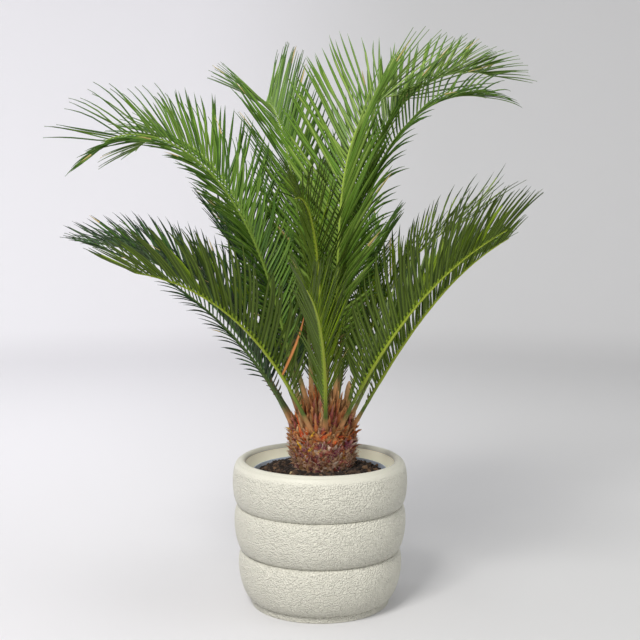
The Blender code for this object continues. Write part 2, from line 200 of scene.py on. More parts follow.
class Net:
    """The node tree of one material."""

    def __init__(self, name: str) -> None:
        """Make an empty material with a Principled BSDF.

        Args:
            name: The material's name.
        """
        self.material = bpy.data.materials.new(name)
        self.material.use_nodes = True
        self.tree = self.material.node_tree
        self.shader = self.tree.nodes["Principled BSDF"]

    def node(self, kind: str, settings: Mapping[str, object], inputs: Mapping[object, object],
             output: Union[int, str] = 0) -> Signal:
        """Add a node.

        Args:
            kind: The node's type, such as ShaderNodeMath.
            settings: The node's own settings, which are made first.
            inputs: Values or signals for its sockets, by name or number.
            output: The output socket that the result stands for.

        Returns:
            The output socket as a signal.
        """
        made = self.tree.nodes.new(kind)
        for key, value in settings.items():
            setattr(made, key, value)
        for key, value in inputs.items():
            self.feed(made.inputs[key], value)
        return Signal(self, made.outputs[output])

    def feed(self, socket: bpy.types.NodeSocket, value: object) -> None:
        """Link a signal to a socket, or set the socket's own value."""
        if isinstance(value, Signal):
            self.tree.links.new(value.socket, socket)
        elif isinstance(value, tuple) and len(value) == 3 and len(socket.default_value) == 4:
            socket.default_value = (*value, 1.0)
        else:
            socket.default_value = value

    def math(self, operation: str, first: Value, second: Value) -> Signal:
        """Add a Math node for an operation on two values."""
        return self.node("ShaderNodeMath", {"operation": operation}, {0: first, 1: second})

    def place(self, stretch: Point = (1.0, 1.0, 1.0)) -> Signal:
        """Return the point on the object in metres, with each axis scaled by stretch."""
        point = self.node("ShaderNodeTexCoord", {}, {}, "Object")
        return self.node("ShaderNodeMapping", {}, {"Vector": point, "Scale": stretch})

    def map(self, stretch: Point = (1.0, 1.0, 1.0)) -> Signal:
        """Return the piece's own UV place, with each axis scaled by stretch."""
        point = self.node("ShaderNodeTexCoord", {}, {}, "UV")
        return self.node("ShaderNodeMapping", {}, {"Vector": point, "Scale": stretch})

    def part(self, vector: Signal, axis: int) -> Signal:
        """Return one part of a vector: 0 for X, 1 for Y and 2 for Z."""
        return self.node("ShaderNodeSeparateXYZ", {}, {0: vector}, axis)

    def noise(self, vector: Signal, scale: float, detail: float = 3.0, roughness: float = 0.55) -> Signal:
        """Return a noise of 0 to 1 at a scale in features a unit."""
        return self.node("ShaderNodeTexNoise", {}, {"Vector": vector, "Scale": scale, "Detail": detail,
                                                    "Roughness": roughness})

    def cells(self, vector: Signal, scale: float) -> Signal:
        """Return the smoothed distance to the nearest point of a Voronoi pattern."""
        return self.node("ShaderNodeTexVoronoi", {"feature": "SMOOTH_F1"}, {"Vector": vector, "Scale": scale})

    def rise(self, value: Signal, low: float, high: float) -> Signal:
        """Return a smooth change from 0 where value is low to 1 where it is high."""
        return self.node("ShaderNodeMapRange", {"interpolation_type": "SMOOTHSTEP"},
                         {"Value": value, "From Min": low, "From Max": high})

    def mix(self, share: Value, first: Paint, second: Paint) -> Signal:
        """Mix two colours: first at share 0, second at share 1."""
        return self.node("ShaderNodeMix", {"data_type": "RGBA"}, {0: share, 6: first, 7: second}, 2)

    def product(self, first: Paint, second: Paint) -> Signal:
        """Return the product of two colours."""
        return self.node("ShaderNodeMix", {"data_type": "RGBA", "blend_type": "MULTIPLY"},
                         {0: 1.0, 6: first, 7: second}, 2)

    def ramp(self, place: Signal, stops: Sequence[tuple[float, Colour]]) -> Signal:
        """Add a colour ramp.

        Args:
            place: Where on the ramp each point stands, from 0 to 1.
            stops: Places on the ramp and their colours, in order.

        Returns:
            The colour, which changes with place through the stops.
        """
        made = self.node("ShaderNodeValToRGB", {}, {0: place})
        band = made.socket.node.color_ramp
        for number, (where, colour) in enumerate(stops):
            stop = band.elements[number] if number < 2 else band.elements.new(where)
            stop.position = where
            stop.color = (*colour, 1.0)
        return made

    def bump(self, height: Signal, depth: float) -> Signal:
        """Return a normal that stands up by depth metres where height is 1."""
        return self.node("ShaderNodeBump", {}, {"Height": height, "Distance": depth, "Strength": 1.0})

    def finish(self, colour: Paint, roughness: Value, normal: Optional[Signal] = None,
               **fixed: float) -> bpy.types.Material:
        """Feed the Principled BSDF.

        Args:
            colour: Base colour.
            roughness: Roughness.
            normal: Bumped normal.
            fixed: Other sockets by name, with _ for a space, each a plain number.

        Returns:
            The material.
        """
        self.feed(self.shader.inputs["Base Color"], colour)
        self.feed(self.shader.inputs["Roughness"], roughness)
        if normal is not None:
            self.feed(self.shader.inputs["Normal"], normal)
        for key, value in fixed.items():
            self.shader.inputs[key.replace("_", " ").title().replace("Ior", "IOR")].default_value = value
        return self.material


def shaded(colour: Colour, factor: float) -> Colour:
    """Return a colour made lighter or darker by a factor."""
    return tuple(min(1.0, part * factor) for part in colour)


@dataclass(frozen=True)
class PebbledGlaze:
    """Satin ivory glaze over a fine pebbled grain.

    bands gives its tone by height, as painted shade and light: darker at the foot of each ring,
    in each groove and under the lip, and lighter at each ring's top. band_scale is the ramp's share
    for each metre, and smooth_heights the stretch over which the grain ends at the lip.
    """

    colour: Colour = (0.80, 0.785, 0.685)
    pit_colour: Colour = (0.60, 0.58, 0.49)
    bands: tuple[tuple[float, float], ...] = (
        (0.0, 0.92), (0.0096, 0.78), (0.0400, 0.93), (0.0770, 1.0), (0.0795, 0.76), (0.1050, 0.93),
        (0.1430, 1.0), (0.1455, 0.78), (0.1720, 0.94), (0.1930, 0.98), (0.2050, 0.87))
    band_scale: float = 4.5
    band_blue: float = 0.985
    smooth_heights: tuple[float, float] = (0.194, 0.205)
    grains: float = 480.0
    depth: float = 0.0027

    def material(self) -> bpy.types.Material:
        """Make the glaze: pebbles are smooth cells, broken up by a finer noise.

        Returns:
            The material.
        """
        net = Net("ivory_glaze")
        place = net.place()
        wander = net.noise(place, 500.0, 0.5)
        pebbles = net.cells(net.place((1.0, 1.0, 1.2)), self.grains)
        grain = (pebbles * 0.3 + wander * 1.7 - 0.5).clamped()
        cloud = net.noise(place, 9.0, 3.0)
        # Painted shade: the grain's pits take a darker colour, as the shade in its hollows.
        pits = ((grain - 0.60) * 2.2).clamped()
        skin = net.mix(pits * 0.30, self.colour, self.pit_colour)
        skin = net.mix(cloud * 0.25, skin, shaded(self.colour, 0.94))
        # Painted shade and light: each ring is darker at its foot, by the groove, and under the lip, and
        # lighter at its top.
        stops = [(self.band_scale * height, (tone, tone, tone * self.band_blue))
                 for height, tone in self.bands]
        skin = net.product(skin, net.ramp(net.part(place, 2) * self.band_scale, stops))
        smooth = net.rise(net.part(place, 2), *self.smooth_heights)
        normal = net.bump((1.0 - grain) * (1.0 - smooth) + smooth * 0.6, self.depth)
        return net.finish(skin, 0.44 + pits * 0.2, normal, specular_ior_level=0.35)


@dataclass(frozen=True)
class SmoothGlaze:
    """The creamier, smooth glaze inside the planter. Its lighter tone is partly its own colour and partly
    painted light, and its glow is painted light for the light caught in the cup.
    """

    colour: Colour = (0.98, 0.93, 0.74)
    glow: float = 0.16

    def material(self) -> bpy.types.Material:
        """Make the glaze, with faint runs down the wall.

        Returns:
            The material.
        """
        net = Net("cream_glaze")
        runs = net.noise(net.place((1.0, 1.0, 0.2)), 60.0, 3.0)
        skin = net.mix(runs * 0.5, self.colour, shaded(self.colour, 0.9))
        # Painted light: the glaze glows with its own colour, for the light that bounces round in the cup.
        net.feed(net.shader.inputs["Emission Color"], skin)
        return net.finish(skin, 0.40 + runs * 0.15, net.bump(runs, 0.0003), specular_ior_level=0.35,
                          emission_strength=self.glow)


@dataclass(frozen=True)
class MouldedPlastic:
    """Blue-grey plastic of the grow pot."""

    colour: Colour = (0.60, 0.69, 0.82)

    def material(self) -> bpy.types.Material:
        """Make the plastic, with faint flow marks and scuffs.

        Returns:
            The material.
        """
        net = Net("grow_pot_plastic")
        flow = net.noise(net.place((1.0, 1.0, 4.0)), 40.0)
        skin = net.mix(flow * 0.5, self.colour, shaded(self.colour, 0.8))
        return net.finish(skin, 0.4 + flow * 0.2, net.bump(flow, 0.0002))


@dataclass(frozen=True)
class Earth:
    """Crumbly potting mix in one of its tones."""

    name: str
    colour: Colour
    roughness: float = 0.95

    def material(self) -> bpy.types.Material:
        """Make the tone, mottled and grainy.

        Returns:
            The material.
        """
        net = Net(self.name)
        place = net.place()
        mottle = net.noise(place, 260.0, 4.0, 0.7)
        skin = net.mix(mottle, shaded(self.colour, 0.45), shaded(self.colour, 1.6))
        return net.finish(skin, self.roughness, net.bump(net.noise(place, 900.0, 2.0), 0.0006))


@dataclass(frozen=True)
class ScaleSkin:
    """Skin of a trunk scale: fibrous along its length, and another colour at its edges and its tip."""

    name: str
    heart: Colour
    edge: Colour
    tip: Colour

    def material(self) -> bpy.types.Material:
        """Make the skin, painted by the scale's own UV: across in U and root to tip in V.

        Returns:
            The material.
        """
        net = Net(self.name)
        spot = net.map()
        across, along = net.part(spot, 0), net.part(spot, 1)
        fibres = net.noise(net.map((30.0, 2.6, 1.0)), 1.6, 4.0, 0.65)
        blotch = net.noise(net.place(), 330.0, 3.0)
        rim = (abs(across - 0.5) * 2.0) ** 2.2
        skin = net.mix((rim + blotch * 0.8 - 0.35).clamped(), self.heart, self.edge)
        skin = net.mix(((along - 0.45) * 1.8 + blotch * 0.6 - 0.3).clamped(), skin, self.tip)
        skin = net.mix(((fibres - 0.52) * 5.0).clamped() * 0.75, skin, shaded(self.edge, 0.22))
        skin = net.mix(((0.44 - fibres) * 5.0).clamped() * 0.65, skin, shaded(self.tip, 1.30))
        # Painted shade: each scale is darker at its root, where the scales overlap it.
        skin = net.mix((0.20 - along).clamped() * 3.0, skin, shaded(self.edge, 0.30))
        return net.finish(skin, 0.70 + fibres * 0.25, net.bump(fibres, 0.0016), specular_ior_level=0.2)


@dataclass(frozen=True)
class LeafTone:
    """One plain green of the foliage, waxy, with a pale midrib that is partly painted highlight, and rolled
    margins darkened as painted shade.
    """

    name: str
    colour: Colour
    roughness: float = 0.42
    midrib: float = 0.55

    def material(self) -> bpy.types.Material:
        """Make the tone, a little clouded; U runs from margin to margin with the midrib at a half.

        Returns:
            The material.
        """
        net = Net(self.name)
        place = net.place()
        cloud = net.noise(place, 34.0, 2.0)
        rim = abs(net.part(net.map(), 0) - 0.5) * 2.0
        skin = net.mix(cloud, shaded(self.colour, 0.78), shaded(self.colour, 1.25))
        # Painted shade: darker towards the margins, where they roll under.
        skin = net.mix(rim ** 2.5 * 0.75, skin, shaded(self.colour, 0.40))
        # Partly painted highlight: the paler midrib is partly its own colour and partly the light along the
        # ridge.
        skin = net.mix((1.0 - rim * 3.0).clamped() * self.midrib, skin, shaded(self.colour, 2.0))
        gloss = self.roughness + (net.noise(place, 210.0, 2.0) - 0.5) * 0.12
        return net.finish(skin, gloss, specular_ior_level=0.26)


@dataclass(frozen=True)
class StalkSkin:
    """Skin of a stalk and rib: brown felt at the foot, then olive, then bright yellow-green."""

    name: str
    felt: Colour
    stalk: Colour
    rib: Colour

    def material(self) -> bpy.types.Material:
        """Make the skin, which changes along the rib by the share of its length kept in V.

        Returns:
            The material.
        """
        net = Net(self.name)
        spot = net.part(net.map(), 1)
        fibres = net.noise(net.map((9.0, 14.0, 1.0)), 2.0, 4.0, 0.6)
        mottle = net.noise(net.place(), 120.0, 3.0)
        place = spot + (mottle - 0.5) * 0.035
        skin = net.ramp(place, ((0.0, shaded(self.felt, 0.7)), (0.050, self.felt), (0.100, self.stalk),
                                (0.26, self.rib), (1.0, shaded(self.rib, 1.1))))
        skin = net.mix((fibres * 1.4 - 0.5).clamped() * 0.45, skin, shaded(self.stalk, 0.6))
        return net.finish(skin, 0.45 + fibres * 0.3, net.bump(fibres, 0.0004), specular_ior_level=0.3)


class Tone(Enum):
    """Plain greens, browns and yellows that leaflets are dealt."""

    LIGHT = LeafTone("leaf_light", (0.185, 0.285, 0.048), 0.40)
    FRESH = LeafTone("leaf_fresh", (0.118, 0.208, 0.026), 0.42)
    GREEN = LeafTone("leaf_green", (0.105, 0.205, 0.022), 0.43)
    DEEP = LeafTone("leaf_deep", (0.050, 0.115, 0.012), 0.44)
    MOSS = LeafTone("leaf_moss", (0.150, 0.225, 0.008), 0.46)
    OLIVE = LeafTone("leaf_olive", (0.078, 0.132, 0.004), 0.47)
    SHADE = LeafTone("leaf_shade", (0.030, 0.056, 0.005), 0.48)
    TEAL = LeafTone("leaf_teal", (0.044, 0.105, 0.030), 0.42)
    SLATE = LeafTone("leaf_slate", (0.058, 0.098, 0.040), 0.42)
    NIGHT = LeafTone("leaf_night", (0.014, 0.036, 0.012), 0.45)
    UNDER = LeafTone("leaf_underside", (0.125, 0.205, 0.036), 0.60, 0.8)
    UNDER_DEEP = LeafTone("leaf_underside_deep", (0.062, 0.100, 0.008), 0.55, 0.8)
    UNDER_DARK = LeafTone("leaf_underside_dark", (0.030, 0.056, 0.014), 0.55, 0.8)
    THORN = LeafTone("leaf_thorn", (0.130, 0.100, 0.030), 0.60)
    DRY = LeafTone("leaf_dry", (0.580, 0.230, 0.070), 0.60)
    STRAW = LeafTone("leaf_straw", (0.520, 0.400, 0.150), 0.60)


@dataclass(frozen=True)
class Livery:
    """The tones of one frond's leaflets."""

    bodies: tuple[Tone, ...]
    end: Tone
    under: Tone
    root: Tone


class Palette(Enum):
    """Liveries that the photograph shows, by where a frond stands and how old it is."""

    # BRIGHT's lighter greens are partly painted light, for the light through the lit fronds' leaflets.
    BRIGHT = Livery((Tone.LIGHT, Tone.FRESH, Tone.FRESH, Tone.GREEN), Tone.GREEN, Tone.UNDER, Tone.LIGHT)
    GREEN = Livery((Tone.FRESH, Tone.GREEN, Tone.GREEN, Tone.DEEP), Tone.DEEP, Tone.UNDER, Tone.FRESH)
    OLIVE = Livery((Tone.MOSS, Tone.OLIVE, Tone.OLIVE, Tone.SHADE), Tone.SHADE, Tone.UNDER_DEEP, Tone.MOSS)
    MOSS = Livery((Tone.MOSS, Tone.MOSS, Tone.OLIVE), Tone.OLIVE, Tone.UNDER_DEEP, Tone.MOSS)
    # BLUE's dark blue-greens are painted shade, for the fronds at the back left that stand in shade.
    BLUE = Livery((Tone.TEAL, Tone.SLATE, Tone.DEEP, Tone.NIGHT), Tone.NIGHT, Tone.UNDER_DARK, Tone.DEEP)


class Husk(IntEnum):
    """Skins of the trunk's scales, by their place in Finishes.scales."""

    TAN = 0
    MAROON = 1
    PURPLE = 2
    RUSSET = 3
    ORANGE = 4
    AMBER = 5
    FELT = 6
    OCHRE = 7
    PINK = 8
    UMBER = 9


class Grit(IntEnum):
    """Tones of the potting mix, by their place in Finishes.earth."""

    DARK = 0
    BROWN = 1
    BARK = 2
    CHIP = 3


HUSKS: dict[Husk, tuple[Colour, Colour, Colour]] = {
    Husk.TAN: ((0.72, 0.43, 0.26), (0.40, 0.17, 0.12), (0.82, 0.55, 0.36)),
    Husk.MAROON: ((0.46, 0.115, 0.075), (0.21, 0.040, 0.055), (0.62, 0.28, 0.19)),
    Husk.PURPLE: ((0.36, 0.105, 0.125), (0.19, 0.035, 0.080), (0.60, 0.32, 0.27)),
    Husk.RUSSET: ((0.68, 0.23, 0.070), (0.30, 0.060, 0.045), (0.80, 0.42, 0.16)),
    Husk.ORANGE: ((0.85, 0.130, 0.030), (0.50, 0.080, 0.030), (0.85, 0.34, 0.11)),
    Husk.AMBER: ((0.92, 0.50, 0.030), (0.66, 0.20, 0.030), (0.94, 0.66, 0.10)),
    Husk.FELT: ((0.66, 0.38, 0.17), (0.36, 0.15, 0.06), (0.78, 0.50, 0.25)),
    Husk.OCHRE: ((0.62, 0.34, 0.08), (0.24, 0.055, 0.060), (0.70, 0.44, 0.15)),
    Husk.PINK: ((0.92, 0.68, 0.52), (0.52, 0.26, 0.20), (0.95, 0.78, 0.62)),
    Husk.UMBER: ((0.36, 0.170, 0.060), (0.15, 0.055, 0.025), (0.60, 0.32, 0.13)),
}


class Finishes:
    """Every material of the plant, each made once."""

    def __init__(self) -> None:
        """Make the materials."""
        self.glaze = PebbledGlaze().material()
        self.cream = SmoothGlaze().material()
        self.plastic = MouldedPlastic().material()
        self.earth = [
            Earth("soil_dark", (0.022, 0.014, 0.010)).material(),
            Earth("soil_brown", (0.075, 0.044, 0.027)).material(),
            Earth("soil_bark", (0.170, 0.100, 0.055)).material(),
            Earth("soil_chip", (0.420, 0.300, 0.150), 0.8).material(),
        ]
        self.scales = [ScaleSkin("scale_" + husk.name.lower(), *HUSKS[husk]).material() for husk in Husk]
        self.stalks = {
            palette: StalkSkin("rib_" + palette.name.lower(), *colours).material() for palette, *colours in (
                # The BRIGHT rib's lighter greens are partly painted light, and the BLUE rib's darker ones
                # partly painted shade, as their leaflets' are.
                (Palette.BRIGHT, (0.62, 0.31, 0.130), (0.20, 0.22, 0.07), (0.30, 0.42, 0.055)),
                (Palette.GREEN, (0.62, 0.31, 0.130), (0.17, 0.20, 0.06), (0.22, 0.34, 0.045)),
                (Palette.OLIVE, (0.55, 0.26, 0.110), (0.085, 0.135, 0.025), (0.29, 0.36, 0.030)),
                (Palette.BLUE, (0.50, 0.25, 0.110), (0.090, 0.130, 0.045), (0.14, 0.22, 0.060)),
            )}
        self.stalks[Palette.MOSS] = self.stalks[Palette.OLIVE]
        self.leaves = {tone: tone.value.material() for tone in Tone}


@dataclass
class Skin:
    """A mesh in the making: its points, faces, one material number a face, and its UV map."""

    points: np.ndarray
    faces: Faces
    tones: Optional[np.ndarray] = None
    places: Optional[np.ndarray] = None

    def add(self, name: str, finishes: Sequence[bpy.types.Material], slot: str, nodes: Iterable[str],
            sharp: float) -> None:
        """Make the mesh an object at the origin that rides on the plant.

        Args:
            name: The piece's name.
            finishes: Its materials.
            slot: Not used.
            nodes: The CAD nodes that it stands for.
            sharp: Edges that turn by more degrees than this stay sharp.
        """
        sizes = np.concatenate([np.full(len(block), block.shape[1]) for block in self.faces])
        corners = np.concatenate([block.ravel() for block in self.faces])
        starts = np.concatenate([[0], np.cumsum(sizes)[:-1]])
        mesh = bpy.data.meshes.new(name)
        mesh.vertices.add(len(self.points))
        mesh.vertices.foreach_set("co", self.points.astype(np.float32).ravel())
        mesh.loops.add(len(corners))
        mesh.loops.foreach_set("vertex_index", corners.astype(np.int32))
        mesh.polygons.add(len(sizes))
        mesh.polygons.foreach_set("loop_start", starts.astype(np.int32))
        for finish in finishes:
            mesh.materials.append(finish)
        if self.tones is not None:
            mesh.polygons.foreach_set("material_index", self.tones.astype(np.int32))
        if self.places is not None:
            layer = mesh.uv_layers.new(name="UVMap")
            layer.data.foreach_set("uv", self.places[corners].astype(np.float32).ravel())
        mesh.update(calc_edges=True)
        mesh.shade_smooth()
        mesh.set_sharp_from_angle(angle=math.radians(sharp))
        item = bpy.data.objects.new(name, mesh)
        bpy.context.scene.collection.objects.link(item)
        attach(item, BODY)
        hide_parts(*nodes)
        LOG.info("%s: %d faces", name, len(mesh.polygons))


def tube_faces(rows: int, around: int, count: int = 1) -> list[np.ndarray]:
    """Return the faces of tubes of rings that run one after another, with a cap at each end.

    Args:
        rows: Rings in a tube.
        around: Points in a ring, anticlockwise as seen from the tube's far end.
        count: Number of tubes.

    Returns:
        The side quads, then the caps at the start and at the end.
    """
    ring = np.arange(around)
    after = (ring + 1) % around
    step = np.arange(rows - 1)[:, None] * around
    quads = np.stack([step + ring, step + after, step + around + after, step + around + ring], axis=-1)
    first = np.arange(count) * rows * around
    sides = (first[:, None, None] + quads.reshape(1, -1, 4)).reshape(-1, 4)
    start = first[:, None] + ring[::-1]
    end = first[:, None] + (rows - 1) * around + ring
    return [sides, start, end]


@dataclass(frozen=True)
class Turning:
    """A body turned about the upright axis from a profile of radii and heights."""

    steps: int

    def skin(self, profile: np.ndarray) -> Skin:
        """Turn the profile: x = r cos a, y = r sin a and z = h, closed by a disc at each end.

        Args:
            profile: Radii and heights from the bottom's edge, up the outside and down the inside.

        Returns:
            The closed body, with the turn in U and the way along the profile in V.
        """
        angles = circle(self.steps)
        points = rings(profile[:, 0], profile[:, 1], angles)
        way = np.concatenate([[0.0], np.cumsum(np.linalg.norm(np.diff(profile, axis=0), axis=1))])
        places = grid(angles / FULL_TURN, way)
        return Skin(points.reshape(-1, 3), tube_faces(len(profile), self.steps), None, places.reshape(-1, 2))


@dataclass
class Planter:
    """The planter of three bulging rings on a low foot.

    foot is the foot's radius, its height and the width of its rounded edges. lip_arc is the stretch of
    the lip's round that shows, in degrees from the outside. grain is the wavelength of the lumps and
    relief their height, and grain_heights are where they fade in and out again.
    """

    finishes: Finishes
    foot: tuple[float, float, float] = (0.0998, 0.0098, 0.0015)
    groove_heights: tuple[float, ...] = (0.0098, 0.0791, 0.1448, 0.2069)
    groove_radii: tuple[float, ...] = (0.1000, 0.1112, 0.1168, 0.1175)
    bulges: tuple[float, ...] = (0.0108, 0.0090, 0.0083)
    lip_centre: tuple[float, float] = (0.1125, 0.2040)
    lip_radius: float = 0.0058
    lip_arc: tuple[float, float] = (30.0, 180.0)
    lip_steps: int = 16
    inner_wall: tuple[tuple[float, float], ...] = ((0.1064, 0.1900), (0.1062, 0.1500), (0.1062, 0.0600),
                                                   (0.1002, 0.0280), (0.0880, 0.0110))
    ring_steps: int = 60
    steps: int = 640
    grain: float = 0.0036
    relief: float = 0.00006
    grain_heights: tuple[float, ...] = (0.001, 0.004, 0.188, 0.204)

    def profile(self) -> np.ndarray:
        """Return the section: a ring stands out from the line between its grooves by half an ellipse.

        Returns:
            Radii and heights, from the foot's edge up the outside and down the inside.
        """
        radius, height, edge = self.foot
        corner = 0.3 * edge
        parts = [np.array([(radius - edge, 0.0), (radius - corner, corner), (radius, edge),
                           (radius, height - edge), (radius - corner, height - 0.2 * edge)])]
        share = 0.5 - 0.5 * np.cos(np.linspace(0.04, 1.0, self.ring_steps) * math.pi)
        for k, bulge in enumerate(self.bulges):
            line = self.groove_radii[k] + (self.groove_radii[k + 1] - self.groove_radii[k]) * share
            rise = self.groove_heights[k] + (self.groove_heights[k + 1] - self.groove_heights[k]) * share
            parts.append(np.stack([line + bulge * np.sqrt(4.0 * share * (1.0 - share)), rise], axis=-1)[:-1])
        turn = np.radians(np.linspace(*self.lip_arc, self.lip_steps))
        parts.append(np.stack([self.lip_centre[0] + self.lip_radius * np.cos(turn),
                               self.lip_centre[1] + self.lip_radius * np.sin(turn)], axis=-1))
        parts.append(np.array(self.inner_wall))
        return np.concatenate(parts)

    def build(self) -> None:
        """Build the planter: fine lumps stand on its rings, and fade out at the lip and the underside."""
        profile = self.profile()
        body = Turning(self.steps).skin(profile)
        outside = len(profile) - len(self.inner_wall) - 1
        x, y, height = body.points.T
        around = body.points[:, :2] / np.hypot(x, y)[:, None]
        fade = np.interp(height, self.grain_heights, (0.0, 1.0, 1.0, 0.0))
        fade[outside * self.steps:] = 0.0
        lumps = ripple(body.points, self.grain, 3, 40) + 0.7 * ripple(body.points, 0.6 * self.grain, 4, 40)
        body.points[:, :2] += around * (self.relief * fade * lumps)[:, None]
        row = np.arange(len(profile) - 1).repeat(self.steps)
        body.tones = np.concatenate([(row >= outside).astype(int), [0, 1]])
        body.add("planter", [self.finishes.glaze, self.finishes.cream], "pot", ["pot"], 60.0)


@dataclass
class GrowPot:
    """The plastic pot that the palm grows in, whose rim shows inside the planter.

    band is the height of the rim's band and step how far it stands out, over a chamfer; edge rounds
    the rim's top.
    """

    finishes: Finishes
    top: float = 0.1925
    radius: float = 0.0975
    foot_radius: float = 0.0770
    foot_height: float = 0.0113
    wall: float = 0.0015
    band: float = 0.0120
    step: float = 0.0020
    chamfer: float = 0.0003
    edge: float = 0.0005
    steps: int = 160

    def build(self) -> None:
        """Build the cup with its rim band and rounded edge."""
        low = self.top - self.band
        inner = self.radius - self.wall
        profile = np.array([
            (self.foot_radius, self.foot_height), (self.radius - self.step, low),
            (self.radius, low + self.chamfer), (self.radius, self.top - self.edge),
            (self.radius - self.edge, self.top), (inner + self.edge, self.top),
            (inner, self.top - self.edge), (inner - self.step, low),
            (self.foot_radius - self.wall, self.foot_height + self.wall),
        ])
        Turning(self.steps).skin(profile).add("grow_pot", [self.finishes.plastic], "liner", ["liner"], 30.0)


@dataclass
class Soil:
    """Potting mix heaped against the trunk: an uneven surface under loose crumbs and chips.

    The surface rises from edge_height at edge_radius to mound_height at mound_radius. foot_radius and
    bottom are the bed's underside, clear_radius keeps the lumps out of the trunk, and middle is the
    radius of the innermost ring.
    """

    finishes: Finishes
    edge_height: float = 0.1865
    mound_height: float = 0.1970
    edge_radius: float = 0.0935
    mound_radius: float = 0.0560
    bottom: float = 0.0140
    foot_radius: float = 0.0748
    clear_radius: float = 0.047
    middle: float = 0.004
    rows: int = 46
    steps: int = 160
    crumbs: int = 2600
    chips: int = 44

    def height(self, points: np.ndarray) -> np.ndarray:
        """Work out the surface: a smooth mound with lumps of about a millimetre.

        Args:
            points: Points in x and y.

        Returns:
            The surface's height at each point.
        """
        reach = np.hypot(points[..., 0], points[..., 1])
        share = np.clip((self.edge_radius - reach) / (self.edge_radius - self.mound_radius), 0.0, 1.0)
        rise = share * share * (3.0 - 2.0 * share)
        lumps = 0.0011 * ripple(points, 0.016, 5) + 0.0007 * ripple(points, 0.006, 6)
        return self.edge_height + (self.mound_height - self.edge_height) * rise + lumps * (1.0 - 0.4 * rise)

    def ground(self) -> None:
        """Build the soil's body: rings from the foot up the side and over the top to the middle."""
        angles = circle(self.steps)
        radii = np.concatenate([[self.foot_radius, self.edge_radius],
                                np.linspace(self.edge_radius - 0.001, self.middle, self.rows)])
        flat = np.stack([radii[:, None] * np.cos(angles), radii[:, None] * np.sin(angles)], axis=-1)
        heights = self.height(flat)
        heights[0] = self.bottom
        heights[1] -= 0.002
        points = np.concatenate([flat, heights[..., None]], axis=-1)
        Skin(points.reshape(-1, 3), tube_faces(len(radii), self.steps)).add(
            "soil_bed", [self.finishes.earth[Grit.DARK]], "soil", ["soil"], 60.0)

    def lump(self) -> tuple[np.ndarray, np.ndarray]:
        """Return an icosahedron of radius 1: its corners stand 1 and the golden ratio along two axes.

        Returns:
            The 12 corners, and the 20 triangles that face outwards, each of three corners that are near.
        """
        golden = (1.0 + math.sqrt(5.0)) / 2.0
        signs = np.array([(-1, 1), (1, 1), (-1, -1), (1, -1)], float)
        zero = np.zeros(4)
        corners = unit(np.concatenate([
            np.stack([signs[:, 0], signs[:, 1] * golden, zero], axis=-1),
            np.stack([zero, signs[:, 0], signs[:, 1] * golden], axis=-1),
            np.stack([signs[:, 1] * golden, zero, signs[:, 0]], axis=-1)]))
        near = np.linalg.norm(corners[:, None] - corners[None], axis=-1) < 1.2
        np.fill_diagonal(near, False)
        a, b, c = np.nonzero(near[:, :, None] & near[:, None, :] & near[None, :, :])
        faces = np.stack([a, b, c], axis=-1)[(a < b) & (b < c)]
        first, second, third = np.moveaxis(corners[faces], 1, 0)
        outward = np.sum(np.cross(second - first, third - first) * first, axis=-1)
        faces[outward < 0] = faces[outward < 0][:, ::-1]
        return corners, faces

    def crumb_skin(self, count: int, sizes: tuple[float, float], flatness: float, tones: np.ndarray,
                   seed: int) -> Skin:
        """Scatter lumps on the surface, each of them stretched, dented and turned.

        Args:
            count: Number of lumps.
            sizes: Smallest and largest radius.
            flatness: Least share of a lump's radius across its flat side.
            tones: Material number of each lump.
            seed: Seed of the places.

        Returns:
            The joined lumps.
        """
        dice = np.random.default_rng(seed)
        corners, faces = self.lump()
        low, high = sizes
        reach = np.sqrt(dice.uniform(self.clear_radius ** 2, (self.edge_radius - 0.002) ** 2, count))
        angle = dice.uniform(0.0, FULL_TURN, count)
        flat = np.stack([reach * np.cos(angle), reach * np.sin(angle)], axis=-1)
        radius = low * (high / low) ** (dice.uniform(0.0, 1.0, count) ** 1.8)
        shape = corners[None] * (1.0 + dice.uniform(-0.28, 0.28, (count, len(corners), 1)))
        shape = shape * dice.uniform([0.7, 0.55, flatness], [1.3, 1.0, flatness + 0.35], (count, 3))[:, None]
        lean = unit(dice.normal([0.0, 0.0, 1.0], 0.35, (count, 3)))
        side = unit(np.cross(lean, dice.normal(size=(count, 3))))
        axes = np.stack([side, np.cross(lean, side), lean], axis=1)
        shape = np.einsum("nvk,nkx->nvx", shape, axes) * radius[:, None, None]
        centre = np.concatenate([flat, (self.height(flat) + radius * 0.25)[:, None]], axis=-1)
        points = shape + centre[:, None]
        joined = (np.arange(count)[:, None, None] * len(corners) + faces[None]).reshape(-1, 3)
        return Skin(points.reshape(-1, 3), [joined], np.repeat(tones, len(faces)))

    def build(self) -> None:
        """Build the bed, the crumbs and the chips."""
        dice = np.random.default_rng(11)
        self.ground()
        tones = dice.choice([Grit.DARK, Grit.BROWN, Grit.BARK], self.crumbs, p=[0.62, 0.30, 0.08])
        crumbs = self.crumb_skin(self.crumbs, (0.0012, 0.0054), 0.50, tones, 12)
        crumbs.add("soil_crumbs", self.finishes.earth, "soil", (), 20.0)
        tones = np.where(dice.random(self.chips) < 0.5, Grit.CHIP, Grit.BARK)
        chips = self.crumb_skin(self.chips, (0.0018, 0.0046), 0.15, tones, 15)
        chips.add("soil_chips", self.finishes.earth, "soil", (), 20.0)


